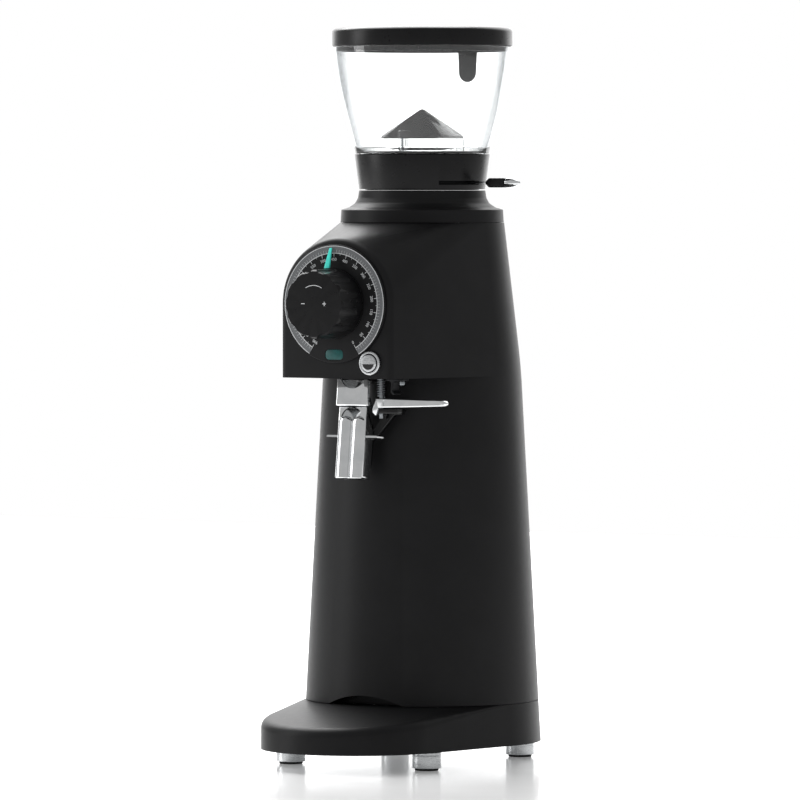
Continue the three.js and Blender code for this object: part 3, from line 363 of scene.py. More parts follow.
def moulded_rubber():
    """Moulded rubber: dull black with a dusty bloom."""
    made, tree, shader = surface("moulded_rubber", IOR=1.5, Specular_IOR_Level=0.3)
    link(tree, tint(tree, grain(tree, 3), "#0d0d0d", "#171717"), shader, "Base Color")
    link(tree, between(tree, grain(tree, 1.5), 0.62, 0.85), shader, "Roughness")
    bump(tree, shader, grain(tree, 0.6), 0.25, 0.06)
    return made


def teal_acetal(name, first, second):
    """Moulded acetal in teal: slightly waxy, even colour."""
    made, tree, shader = surface(name, IOR=1.48, Specular_IOR_Level=0.4)
    link(tree, tint(tree, grain(tree, 4), first, second), shader, "Base Color")
    link(tree, between(tree, grain(tree, 2), 0.28, 0.40), shader, "Roughness")
    bump(tree, shader, grain(tree, 0.8), 0.08, 0.03)
    return made


def grey_nylon():
    """Moulded grey nylon of the electrical pieces: matt with a fine spark finish."""
    made, tree, shader = surface("grey_nylon", IOR=1.53)
    link(tree, tint(tree, grain(tree, 8), "#b9bbbc", "#cdcfd0"), shader, "Base Color")
    link(tree, between(tree, grain(tree, 2), 0.45, 0.60), shader, "Roughness")
    bump(tree, shader, grain(tree, 0.5), 0.20, 0.05)
    return made


def glass_fibre_board():
    """Glass fibre circuit board: green lacquer over a fine cloth."""
    made, tree, shader = surface("glass_fibre_board", IOR=1.5)
    cloth = grain(tree, 1.2, 2.0, (1, 1, 3))
    link(tree, tint(tree, cloth, "#174a2e", "#226240"), shader, "Base Color")
    link(tree, between(tree, cloth, 0.30, 0.48), shader, "Roughness")
    bump(tree, shader, cloth, 0.20, 0.04)
    return made


def anodised_dial():
    """Matt black anodised dial: very even, a little greyer than the head."""
    made, tree, shader = surface("anodised_dial", IOR=1.45, Specular_IOR_Level=0.16)
    link(tree, tint(tree, grain(tree, 12), "#161617", "#1a1a1b"), shader, "Base Color")
    link(tree, between(tree, grain(tree, 3), 0.44, 0.56), shader, "Roughness")
    bump(tree, shader, grain(tree, 0.5), 0.10, 0.02)
    return made


def screen_ink(name, first, second):
    """Screen printed ink: flat, with the mesh of the screen just showing."""
    made, tree, shader = surface(name, IOR=1.5, Specular_IOR_Level=0.3)
    link(tree, tint(tree, grain(tree, 0.8), first, second), shader, "Base Color")
    link(tree, between(tree, grain(tree, 1.5), 0.42, 0.58), shader, "Roughness")
    bump(tree, shader, grain(tree, 0.6), 0.06, 0.02)
    return made


def opal_table():
    """A backlit opal acrylic table: even white, with a faint soft reflection near the feet."""
    made, tree, shader = surface("opal_table", IOR=1.4, Specular_IOR_Level=0.25)
    link(tree, tint(tree, grain(tree, 400), "#f6f6f6", "#fafafa"), shader, "Base Color")
    link(tree, between(tree, grain(tree, 90), 0.10, 0.16), shader, "Roughness")
    shader.inputs["Emission Color"].default_value = (1, 1, 1, 1)
    shader.inputs["Emission Strength"].default_value = 0.12
    return made


COAT = powder_coat()
ABS = moulded_abs()
GLOSS = polished_abs()
CLEAR = clear_polycarbonate()
CHROME = chrome_plate()
TURNED = turned_steel()
GROUND = ground_steel()
DARK_STEEL = blackened_steel()
CAST = cast_aluminium()
STACK = steel_laminations()
BRASS = turned_brass()
RUBBER = moulded_rubber()
POINTER = teal_acetal("teal_pointer", "#38d6c8", "#4ae6d6")
WINDOW = teal_acetal("teal_window", "#04403f", "#064b49")
NYLON = grey_nylon()
BOARD = glass_fibre_board()
DIAL = anodised_dial()
WHITE_INK = screen_ink("white_ink", "#c4c6c8", "#d6d8d9")
SILVER_INK = screen_ink("silver_ink", "#5c5e60", "#6e7072")
BLACK_INK = screen_ink("black_ink", "#1a1a1b", "#202021")


# ---- small tools for shapes ----
def fillet(before, corner, after, radius):
    """The points of an arc that rounds a corner of an outline."""
    back = (before - corner).normalized()
    ahead = (after - corner).normalized()
    half = math.acos(max(-1, min(1, back.dot(ahead)))) / 2
    longest = 0.49 * min((before - corner).length, (after - corner).length)
    reach = min(radius / math.tan(half), longest)
    centre = corner + (back + ahead).normalized() * (reach / math.cos(half))
    first, last = corner + back * reach - centre, corner + ahead * reach - centre
    turns = [first.slerp(last, i / FILLET_STEPS) for i in range(FILLET_STEPS + 1)]
    return [centre + turn * first.length for turn in turns]


def rounded(outline):
    """An outline of (x, y) or (x, y, rounding) points with its corners rounded."""
    flat = [Vector(point[:2]) for point in outline]
    points = []
    for i, point in enumerate(outline):
        if len(point) == 3:
            points += fillet(flat[i - 1], flat[i], flat[(i + 1) % len(flat)], point[2])
        else:
            points.append(flat[i])
    return points


def bezier(first, pull, push, last, steps):
    """Points of a cubic curve between two ends."""
    ends = [Vector(point) for point in (first, pull, push, last)]
    weights = lambda t: ((1 - t) ** 3, 3 * t * (1 - t) ** 2, 3 * t * t * (1 - t), t ** 3)
    curve = []
    for i in range(steps + 1):
        total = Vector((0, 0))
        for weight, end in zip(weights(i / steps), ends):
            total += weight * end
        curve.append(tuple(total))
    return curve


def clean(bm):
    """Closes seams and poles and turns the normals outward."""
    bmesh.ops.remove_doubles(bm, verts=bm.verts, dist=0.002)
    bmesh.ops.dissolve_degenerate(bm, dist=0.001, edges=bm.edges)
    bmesh.ops.recalc_face_normals(bm, faces=bm.faces)
    return bm


def turned(outline, steps=ROUND_STEPS):
    """Spins an outline of (radius, height) points round +Z."""
    bm = bmesh.new()
    points = rounded(outline)
    verts = [bm.verts.new((point[0], 0, point[1])) for point in points]
    pairs = list(zip(verts, verts[1:]))
    if points[0][0] > 0 or points[-1][0] > 0:
        pairs.append((verts[-1], verts[0]))
    edges = [bm.edges.new(pair) for pair in pairs]
    bmesh.ops.spin(bm, geom=verts + edges, cent=(0, 0, 0), axis=(0, 0, 1),
                   angle=2 * math.pi, steps=steps, use_merge=True)
    return clean(bm)


def rod(radius, bottom, top, steps=SMALL_STEPS):
    return turned([(0, bottom), (radius, bottom), (radius, top), (0, top)], steps)


def block(x0, x1, y0, y1, z0, z1):
    bm = bmesh.new()
    bmesh.ops.create_cube(bm, size=1)
    bmesh.ops.scale(bm, vec=(x1 - x0, y1 - y0, z1 - z0), verts=bm.verts)
    return moved(bm, (x0 + x1) / 2, (y0 + y1) / 2, (z0 + z1) / 2)


def extruded(outline, depth):
    """A flat outline in X and Y, given thickness along +Z."""
    bm = bmesh.new()
    face = bm.faces.new([bm.verts.new((x, y, 0)) for x, y in rounded(outline)])
    grown = bmesh.ops.extrude_face_region(bm, geom=[face])["geom"]
    tops = [item for item in grown if isinstance(item, bmesh.types.BMVert)]
    bmesh.ops.translate(bm, vec=(0, 0, depth), verts=tops)
    return clean(bm)


def hull(points):
    bm = bmesh.new()
    for point in points:
        bm.verts.new(point)
    left = bmesh.ops.convex_hull(bm, input=bm.verts)
    spare = [item for item in left["geom_interior"] + left["geom_unused"]
             if isinstance(item, bmesh.types.BMVert)]
    bmesh.ops.delete(bm, geom=list(set(spare)), context="VERTS")
    return clean(bm)


def circle(radius, height, y=0.0, steps=ROUND_STEPS):
    """Points of a level circle; its height may follow its depth."""
    points = []
    for i in range(steps):
        angle = 2 * math.pi * i / steps
        depth = y + radius * math.sin(angle)
        level = height(depth) if callable(height) else height
        points.append((radius * math.cos(angle), depth, level))
    return points


def moved(bm, x, y, z):
    bmesh.ops.translate(bm, vec=(x, y, z), verts=bm.verts)
    return bm


def spun(bm, degrees, axis, cent=(0, 0, 0)):
    turn = Matrix.Rotation(math.radians(degrees), 3, axis)
    bmesh.ops.rotate(bm, cent=cent, matrix=turn, verts=bm.verts)
    return bm


def facing(bm, x=0.0, z=DIAL_HEIGHT):
    """Turns a piece made along +Z to stand out of the front of the head."""
    return moved(spun(bm, 90, "X"), x, HEAD_FRONT, z)


def softened(bm, width, segments=3, limit=30):
    """Bevels the edges that are sharper than the limit."""
    sharp = [edge for edge in bm.edges
             if edge.is_manifold and edge.calc_face_angle(0) > math.radians(limit)]
    bmesh.ops.bevel(bm, geom=sharp, offset=width, segments=segments, profile=0.5,
                    affect="EDGES", material=-1, clamp_overlap=True)
    return clean(bm)


def as_object(bm, name):
    mesh = bpy.data.meshes.new(name)
    bm.to_mesh(mesh)
    bm.free()
    obj = bpy.data.objects.new(name, mesh)
    bpy.context.scene.collection.objects.link(obj)
    return obj


def evaluated(obj):
    """The shape of an object with its modifier or its curve worked out."""
    graph = bpy.context.evaluated_depsgraph_get()
    mesh = bpy.data.meshes.new_from_object(obj.evaluated_get(graph))
    bm = bmesh.new()
    bm.from_mesh(mesh)
    bpy.data.meshes.remove(mesh)
    return bm


def combined(first, second, operation):
    """One closed shape cut from, joined to or kept inside another."""
    body, tool = as_object(first, "body"), as_object(second, "tool")
    modifier = body.modifiers.new("combine", "BOOLEAN")
    modifier.operation = operation
    modifier.solver = "EXACT"
    modifier.object = tool
    result = evaluated(body)
    for obj in (body, tool):
        bpy.data.meshes.remove(obj.data)
    return result


def cut(body, *tools):
    for tool in tools:
        body = combined(body, tool, "DIFFERENCE")
    return body


def joined(body, *others):
    for other in others:
        body = combined(body, other, "UNION")
    return body


def merged(*shapes):
    """Separate shapes of one piece in one mesh."""
    whole = bmesh.new()
    for shape in shapes:
        mesh = bpy.data.meshes.new("part")
        shape.to_mesh(mesh)
        shape.free()
        whole.from_mesh(mesh)
        bpy.data.meshes.remove(mesh)
    return whole


def piece(name, bm, body, slot, material, *nodes, smooth=35):
    """Finishes a piece: to metres, in its place, with its finish, body and CAD nodes."""
    moved(bm, 0, AXIS_Y, 0)
    bmesh.ops.scale(bm, vec=(MM, MM, MM), verts=bm.verts)
    obj = as_object(bm, name)
    obj.data.shade_smooth()
    obj.data.set_sharp_from_angle(angle=math.radians(smooth))
    obj.data.materials.append(material)
    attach(obj, body)
    if nodes:
        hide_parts(*nodes)
    return obj


def quarter(radius, steps=6):
    """The (back, inward) places along a quarter round of this radius."""
    angles = [math.pi / 2 * i / steps for i in range(steps + 1)]
    return [(radius * (1 - math.sin(a)), radius * (1 - math.cos(a))) for a in angles]


# ---- base and feet ----
def rim_height(y):
    return min(BASE_SEAT, RIM_FRONT + RIM_SLOPE * (y + FRONT_REACH + FRONT_RADIUS))


def base_form(inset, bottom, drop):
    points = circle(BASE_RADIUS - inset, bottom) + circle(FRONT_RADIUS - inset, bottom, -FRONT_REACH)
    points += circle(FOOT_RADIUS - inset, BASE_SEAT - drop)
    for down, inward in quarter(RIM_ROUND):
        level = lambda y, down=down: rim_height(y) - down - drop
        points += circle(FRONT_RADIUS - inset - inward, level, -FRONT_REACH)
    return hull(points)


def make_base():
    inside = base_form(BASE_WALL, BASE_BOTTOM - PAST, BASE_WALL)
    cable_way = rod(60, BASE_SEAT - 2 * BASE_WALL, BASE_SEAT + PAST)
    shell = cut(base_form(0, BASE_BOTTOM, 0), inside, cable_way)
    piece("base", shell, "root", "satin_body", COAT, "base_casting")
    low, high = span("base_plate")
    inset = BASE_WALL + GAP
    points = circle(BASE_RADIUS - inset, low.z) + circle(BASE_RADIUS - inset, high.z)
    for level in (low.z, high.z):
        points += circle(FRONT_RADIUS - inset, level, -FRONT_REACH)
    plate = softened(hull(points), 0.4, 2)
    for x, y in foot_places().values():
        plate = cut(plate, moved(rod(STUD_HOLE, low.z - PAST, high.z + PAST, 32), x, y, 0))
    piece("floor_plate", plate, "root", "satin_steel", TURNED, "base_plate")


def foot_places():
    """The middle of each foot, from the axis."""
    places = {}
    for corner in ("front_left", "front_right", "rear_left", "rear_right"):
        low, high = span("foot_" + corner)
        places[corner] = ((low.x + high.x) / 2, (low.y + high.y) / 2 - AXIS_Y)
    return places


def make_feet():
    low, high = span("foot_front_left")
    radius = (high.x - low.x) / 2
    shoulder = BASE_BOTTOM - GAP
    pad_low, pad_high = span("pad_front_left")
    pad_radius = (pad_high.x - pad_low.x) / 2
    for corner, (x, y) in foot_places().items():
        foot = turned([
            (0, low.z), (radius, low.z, 0.8), (radius, shoulder - 3.4, 0.2),
            (radius - 0.5, shoulder - 3.1, 0.2), (radius - 0.5, shoulder - 2.6, 0.2),
            (radius, shoulder - 2.3, 0.2), (radius, shoulder, 0.6), (STUD_RADIUS, shoulder),
            (STUD_RADIUS, high.z, 0.5), (0, high.z),
        ], SMALL_STEPS)
        name = "levelling_foot_" + corner
        piece(name, moved(foot, x, y, 0), "root", "satin_steel", TURNED, "foot_" + corner)
        pad = turned([(0, 0), (pad_radius, 0, 0.5), (pad_radius, pad_high.z, 0.4), (0, pad_high.z)],
                     SMALL_STEPS)
        piece("foot_pad_" + corner, moved(pad, x, y, 0), "root", "rubber", RUBBER, "pad_" + corner)


# ---- column and head ----
def shoulder_curve(offset, steps=24):
    ends = [(NECK_RADIUS, NECK_HEIGHT), *SHOULDER, (TOP_RADIUS, SHELL_TOP)]
    return bezier(*[(radius - offset, height) for radius, height in ends], steps)


def head_form(offset, bottom):
    """The head is the hull of the shoulder's rings and of the arch round the dial."""
    points = []
    for radius, height in shoulder_curve(offset):
        if height >= bottom:
            points += circle(radius, min(height, SHELL_TOP - offset))
    points += circle(column_radius(bottom) - offset, bottom)
    for back, inward in quarter(HEAD_ROUND):
        y = HEAD_FRONT + offset + back
        radius = HEAD_HALF_WIDTH - offset - inward
        for i in range(65):
            angle = math.pi * i / 64
            points.append((radius * math.cos(angle), y, DIAL_HEIGHT + radius * math.sin(angle)))
        points += [(-radius, y, bottom), (radius, y, bottom)]
    return hull(points)


def column_radius(height):
    """Radius of the column's outside; above the taper it follows the shoulder curve."""
    if height <= NECK_HEIGHT:
        share = (height - SHELL_BOTTOM) / (NECK_HEIGHT - SHELL_BOTTOM)
        return FOOT_RADIUS + share * (NECK_RADIUS - FOOT_RADIUS)
    curve = shoulder_curve(0)
    for (r0, z0), (r1, z1) in zip(curve, curve[1:]):
        if z0 <= height <= z1:
            return r0 + (r1 - r0) * (height - z0) / (z1 - z0)
    return TOP_RADIUS


def foot_recess(grow, depth):
    half = ARCH_WIDTH / 2 + grow
    steps = 32
    outline = []
    for i in range(steps + 1):
        share = i / steps
        outline.append((-half + 2 * half * share, 4 * (ARCH_RISE + grow) * share * (1 - share)))
    if not grow:
        outline += [(half, -2), (-half, -2)]
    tool = spun(extruded(outline, depth), 90, "X")
    return moved(tool, 0, depth - FOOT_RADIUS, SHELL_BOTTOM)


def make_body():
    """Outside, then hollow, then the lined recess in the foot and the holes in the head."""
    under = HEAD_BOTTOM
    column = turned([
        (0, SHELL_BOTTOM), (FOOT_RADIUS, SHELL_BOTTOM, 0.5), (NECK_RADIUS, NECK_HEIGHT),
        (column_radius(under), under), (column_radius(under) - 1, under),
        (column_radius(under) - 1, under + 6), (0, under + 6),
    ])
    inner_curve = shoulder_curve(SHELL_WALL)
    inner_column = turned([
        (0, SHELL_BOTTOM - PAST), (FOOT_RADIUS - SHELL_WALL, SHELL_BOTTOM - PAST), *inner_curve,
        (TOP_RADIUS - SHELL_WALL, SHELL_TOP + PAST), (0, SHELL_TOP + PAST),
    ])
    whole = joined(column, head_form(0, under))
    hollow = cut(whole, inner_column, head_form(SHELL_WALL, under + SHELL_WALL))
    plug = turned([
        (0, SHELL_BOTTOM), (FOOT_RADIUS - 0.5, SHELL_BOTTOM), (FOOT_RADIUS - 3, SHELL_BOTTOM + 30),
        (0, SHELL_BOTTOM + 30),
    ])
    lining = combined(foot_recess(SHELL_WALL, ARCH_DEPTH + SHELL_WALL), plug, "INTERSECT")
    through = 2 * SHELL_WALL
    inside = SHELL_WALL + 2
    shell = cut(
        joined(hollow, lining),
        foot_recess(0, ARCH_DEPTH),
        moved(facing(rod(SHAFT_BORE, 0, through)), 0, inside, 0),
        moved(facing(rod(BUTTON_RADIUS - 1, 0, through), BUTTON_X, BUTTON_HEIGHT), 0, inside, 0),
        block(-14, 14, SPOUT_Y - 8.5, SPOUT_Y + 8.5, under - PAST, under + SHELL_WALL + PAST),
        moved(spun(rod(GLAND_BORE, 0, 12), 90, "X"), 0, FOOT_RADIUS + 3, GLAND_HEIGHT),
    )
    piece("column_and_head", clean(shell), "root", "satin_body", COAT, "body_shell", smooth=24)


def make_top_cover():
    low = span("top_cover")[0].z
    inner = THROAT_RADIUS + 3.3
    cover = turned([
        (inner, 508), (53.5, 508, 1), (53.5, 503, 1), (69.5, 491.5, 1), (70.6, low),
        (73.6, low, 0.3), (73.3, 484.8, 0.3), (72.8, 494.3, 0.9), (66, 496.4, 6), (60.5, 500, 6),
        (57.8, 505, 5), (56.8, NECK_TOP, 0.6), (inner, NECK_TOP, 0.6),
    ])
    piece("neck_cover", cover, "root", "satin_body", COAT, "top_cover")


def make_cord_gland():
    gland = turned([
        (4.6, -20), (9, -20), (9, 0), (13, 0), (13, 1, 0.6), (12, 2, 0.5), (5.4, 2, 0.4), (4.6, 1.2),
    ], SMALL_STEPS)
    spun(gland, -90, "X")
    piece("cord_entry", moved(gland, 0, FOOT_RADIUS, GLAND_HEIGHT), "root", "moulded_black", ABS,
          "cord_gland")


# ---- hopper ----
def sector(inner, outer, bottom, top, start, end, steps=24):
    """A piece of a ring between two angles, as a cutting tool."""
    arc = [math.radians(start + (end - start) * i / steps) for i in range(steps + 1)]
    outline = [(outer * math.cos(a), outer * math.sin(a)) for a in arc]
    outline += [(inner * math.cos(a), inner * math.sin(a)) for a in reversed(arc)]
    return moved(extruded(outline, top - bottom), 0, 0, bottom)


def ports(bottom, top, turn):
    return [sector(8, THROAT_RADIUS, bottom, top, 72 * i + turn, 72 * i + turn + 32, 12)
            for i in range(5)]


def make_collar():
    floor = 524
    body = turned([
        (0, NECK_TOP + GAP), (51.4, NECK_TOP + GAP), (51.4, COLLAR_BOTTOM),
        (56.7, COLLAR_BOTTOM, 0.7), (60.8, COLLAR_TOP, 0.7), (57.4, COLLAR_TOP, 0.4),
        (54.2, floor, 1.5), (0, floor),
    ])
    half = 1.7
    start, end = LEVER_ANGLE - LEVER_TRAVEL - 96, LEVER_ANGLE - 84
    collar = cut(
        body, rod(50, SHUTTER_HEIGHT - half, SHUTTER_HEIGHT + half, ROUND_STEPS),
        sector(40, 70, SHUTTER_HEIGHT - half, SHUTTER_HEIGHT + half, start, end),
        *ports(NECK_TOP, floor + PAST, 0),
    )
    piece("collar", clean(collar), "hopper", "moulded_black", ABS, "hopper_collar")


def make_jar():
    start = COLLAR_TOP + GAP
    flare = bezier((61, start), (63, 563), (76.8, 593), (JAR_TOP_RADIUS, JAR_TOP), 28)
    outer = [*flare[:-1], (JAR_TOP_RADIUS, JAR_TOP, 0.8)]
    inner = [(radius - JAR_WALL, height) for radius, height in reversed(flare[3:])]
    jar = turned([
        (29, 541.5, 0.4), (51.5, 541.5, 0.6), (51.5, 526, 0.4), (53.9, 526, 0.4), (56.7, start),
        *outer, *inner, (57.6, 546.8, 1.2), (54, 544.2, 1.2), (29, 544.2, 0.5),
    ])
    posts = []
    for angle in (0, 120, 240):
        x = POST_CIRCLE * math.sin(math.radians(angle))
        y = -POST_CIRCLE * math.cos(math.radians(angle))
        posts.append(moved(rod(POST_RADIUS, 543, 558, 40), x, y, 0))
    screw_hole = moved(rod(1.2, 540, 559, 24), 0, -POST_CIRCLE, 0)
    whole = cut(joined(jar, *posts), screw_hole)
    piece("bean_jar", clean(whole), "hopper", "clear_jar", CLEAR, "hopper_jar")


def make_lid():
    low = JAR_TOP + GAP
    cover = turned([
        (0, 655.6), (73.5, 654.4, 2), (74.8, 636.5, 0.6), (77.2, 636.5, 0.6), (77.4, low),
        (LID_RADIUS, low, 0.5), (LID_RADIUS, 655.6, 3.4), (77, 657.4, 3), (40, LID_TOP - 0.4, 30),
        (0, LID_TOP),
    ])
    half, hang = 10.3, 31.5
    outline = [(-half, hang + 2.5)]
    for i in range(25):
        angle = math.pi + math.pi * i / 24
        outline.append(((half - 1.2) * math.cos(angle), 9.1 + (half - 1.2) * math.sin(angle)))
    outline.append((half, hang + 2.5))
    back = LID_RADIUS + 2.6
    tab = softened(spun(extruded(outline, 2.4), 90, "X"), 0.5, 3, 60)
    moved(tab, 0, back, JAR_TOP - hang + GAP)
    bridge = block(-half, half, LID_RADIUS - 3, back - 0.05, low, low + 2.75)
    piece("lid_cover", clean(joined(cover, tab, bridge)), "lid", "moulded_black", ABS, "hopper_lid")


def make_guard():
    rim, side, height = GUARD_RIM, 31, 28.5
    square = ((-1.2, -1.2), (1.2, -1.2), (1.2, 1.2), (-1.2, 1.2))
    dome = turned([
        (0, rim), (37.8, rim, 0.5), (37.4, rim + 2, 1), (36, rim + 3.9, 2), (33.5, rim + 6.4, 3),
        (28, rim + 12, 6), (8, rim + 32), (0, rim + 34),
    ])
    base = [(x * side, y * side, rim - 6) for x, y in square]
    pyramid = softened(hull(base + [(0, 0, rim + height)]), 2.4, 4)
    boss = moved(turned([(0, rim), (6, rim), (6, rim + 7.5, 1.6), (0, rim + 7.5)], SMALL_STEPS),
                 0, 4 - POST_CIRCLE, 0)
    body = joined(combined(dome, pyramid, "INTERSECT"), boss)
    hole = moved(rod(1.3, rim - PAST, rim + 5, 24), 0, -POST_CIRCLE, 0)
    piece("finger_guard", clean(cut(body, hole)), "hopper", "moulded_black", GLOSS, "guard_cap")
    low, high = span("guard_screw")
    screw = turned([(0, low.z), (0.9, low.z, 0.2), (0.9, high.z, 0.2), (0, high.z)], 24)
    piece("guard_post_screw", moved(screw, 0, -POST_CIRCLE, 0), "hopper", "hard_steel", GROUND,
          "guard_screw")


def towards_lever(bm):
    return spun(moved(bm, 0, 0, SHUTTER_HEIGHT), LEVER_ANGLE - 90, "Z")


def make_shutter():
    disc = cut(
        turned([(0, -1.4), (49.5, -1.4, 0.3), (49.5, 1.4, 0.3), (0, 1.4)]), *ports(-3, 3, 36))
    piece("shutter_plate", moved(disc, 0, 0, SHUTTER_HEIGHT), "gate", "satin_steel", DARK_STEEL,
          "gate_disc")
    bar = softened(block(49.8, 92, -3, 3, -1.1, 1.1), 0.35, 3)
    piece("shutter_lever", towards_lever(bar), "gate", "satin_steel", CHROME, "gate_lever")
    sleeve = [(70, -1, 3.4), (70, 1, 3.4), (74, -4.2, 4), (74, 4.2, 4), (90, -4.2, 4), (90, 4.2, 4)]
    grip = softened(hull([(x, y, z) for x, z, wide in sleeve for y in (-wide, wide)]), 0.9, 4)
    slot = block(60, 92, -3.3, 3.3, -1.4, 1.4)
    piece("lever_sleeve", towards_lever(clean(cut(grip, slot))), "gate", "rubber", ABS, "gate_grip")
    length = LEVER_REACH - TIP_START
    tip = turned([
        (0, 0), (4.2, 0, 0.6), (4.2, 5, 4), (3.4, 10, 8), (1.6, length - 0.6, 1.2), (0, length),
    ], SMALL_STEPS)
    spun(tip, 90, "Y")
    tip = cut(tip, block(-1, 3, -3.2, 3.2, -1.6, 1.6))
    piece("lever_tip", towards_lever(moved(clean(tip), TIP_START, 0, 0)), "gate", "chrome", CHROME,
          "gate_tip")


# ---- dial, knob and button ----
def dial_angle(value):
    """Degrees, anticlockwise from +X seen from the front, of a number on the dial."""
    return DIAL_START + DIAL_SWEEP * value / DIAL_LAST


def ring_print(inner, outer, depth):
    """A printed band with open ends at the bottom of the dial."""
    steps = 120
    arc = [math.radians(DIAL_START + DIAL_SWEEP * i / steps) for i in range(steps + 1)]
    bm = bmesh.new()
    start = DIAL_FACE - PRINT_SINK
    first, last = math.cos(arc[0]), math.sin(arc[0])
    verts = [bm.verts.new((radius * first, radius * last, level))
             for radius, level in ((inner, start), (outer, start), (outer, start + depth),
                                   (inner, start + depth))]
    face = bm.faces.new(verts)
    bmesh.ops.spin(bm, geom=[face], cent=(0, 0, 0), axis=(0, 0, 1),
                   angle=math.radians(DIAL_SWEEP), steps=steps, use_duplicate=False)
    return clean(bm)


def tick(value, inner, outer, width, depth=0.14):
    start = DIAL_FACE - PRINT_SINK
    bar = block(inner, outer, -width / 2, width / 2, start, start + depth)
    return spun(bar, dial_angle(value), "Z")


def lettering(text, size, depth):
    """A short printed text as a thin solid, centred, in X and Y."""
    curve = bpy.data.curves.new("text", "FONT")
    curve.body = text
    curve.size = size
    curve.extrude = depth / 2
    curve.resolution_u = 4
    curve.align_x = "CENTER"
    curve.align_y = "CENTER"
    obj = bpy.data.objects.new("text", curve)
    bpy.context.scene.collection.objects.link(obj)
    bm = evaluated(obj)
    bpy.data.curves.remove(curve)
    return clean(bm)


def make_dial():
    plate = turned([
        (9.5, GAP), (DIAL_RADIUS, GAP, 0.4), (DIAL_RADIUS, DIAL_FACE, 0.8), (9.5, DIAL_FACE, 0.3),
    ])
    window_hole = [(-9.3, -4.8, 3.8), (9.3, -4.8, 3.8), (9.3, 4.8, 3.8), (-9.3, 4.8, 3.8)]
    low, high = span("dial_window")
    middle = (low.z + high.z) / 2 - DIAL_HEIGHT
    hole = moved(extruded(window_hole, 3), 0, middle, DIAL_FACE - 1.5)
    piece("dial", facing(clean(cut(plate, hole))), "root", "dial_face", DIAL, "dial_plate")
    glass = [(-9, -4.5, 3.5), (9, -4.5, 3.5), (9, 4.5, 3.5), (-9, 4.5, 3.5)]
    window = moved(softened(extruded(glass, 0.9), 0.2, 2, 60), 0, middle, 1.8)
    piece("level_window", facing(window), "root", "teal", WINDOW, "dial_window")

    edge = DIAL_RADIUS - 1.0
    band = ring_print(edge - 6.2, edge - 0.7, 0.10)
    piece("dial_band", facing(band), "root", "dial_face", SILVER_INK)
    lines = merged(ring_print(edge - 6.9, edge - 6.3, 0.16), ring_print(edge - 0.6, edge, 0.16))
    marks = [tick(value, edge - 6.3, edge - 3.6, 0.18, 0.16) for value in range(0, DIAL_LAST + 1, 10)]
    marks += [tick(value, edge - 9.6, edge - 6.6, 0.40) for value in range(0, DIAL_LAST + 1, 50)]
    marks += [tick(value, edge - 8.2, edge - 6.6, 0.24) for value in range(25, DIAL_LAST, 50)]
    piece("dial_marks", facing(merged(lines, *marks)), "root", "dial_face", WHITE_INK)
    numbers = []
    for value in range(0, DIAL_LAST + 1, 50):
        text = moved(lettering(str(value), 3.7, 0.14), 0, edge - 12.2, DIAL_FACE + 0.04)
        numbers.append(spun(text, dial_angle(value) - 90, "Z"))
    piece("dial_numbers", facing(merged(*numbers)), "root", "dial_face", WHITE_INK)


def make_knob():
    socket = KNOB_FRONT - 6
    body = turned([
        (4.3, KNOB_BACK), (KNOB_RADIUS - 0.6, KNOB_BACK, 0.4), (KNOB_RADIUS, KNOB_BACK + 1.5, 0.5),
        (KNOB_RADIUS - 0.8, KNOB_FRONT - 2, 1), (KNOB_RADIUS - 2.2, KNOB_FRONT, 1),
        (0, KNOB_FRONT), (0, socket), (4.3, socket),
    ], 192)
    for i in range(KNOB_FLUTES):
        angle = 2 * math.pi * (i + 0.5) / KNOB_FLUTES
        reach = KNOB_RADIUS + FLUTE_REACH
        start = KNOB_BACK + FLUTE_START
        tool = turned([(0, start), (FLUTE_BACK_RADIUS, start, 3),
                       (FLUTE_FRONT_RADIUS, KNOB_FRONT + PAST), (0, KNOB_FRONT + PAST)], 96)
        body = cut(body, moved(tool, reach * math.cos(angle), reach * math.sin(angle), 0))
    piece("grind_knob", facing(clean(body)), "knob", "moulded_black", ABS, "adjust_knob", smooth=22)

    lift = DIAL_FACE + 0.4
    start, end = KNOB_RADIUS + 0.4, DIAL_RADIUS - 3
    profile = [(start, 2.6, 13.5), (start, 2.6, 11), (end, 1.2, lift + 1.4), (end, 1.2, lift)]
    wedge = softened(hull([(x, reach, out) for reach, half, out in profile for x in (-half, half)]),
                     0.3, 3)
    piece("pointer", facing(spun(wedge, POINTER_LEAN, "Z")), "knob", "teal", POINTER, "knob_pointer")

    face = KNOB_FRONT + 0.03
    signs = [lettering("−", 8, 0.1), lettering("+", 8, 0.1)]
    for sign, x in zip(signs, (-11, 11)):
        moved(sign, x, 0, face - 0.04)
    arc = sector(16.3, 16.8, face - 0.09, face + 0.01, 60, 120, 32)
    piece("knob_signs", facing(merged(*signs, arc)), "knob", "moulded_black", WHITE_INK)


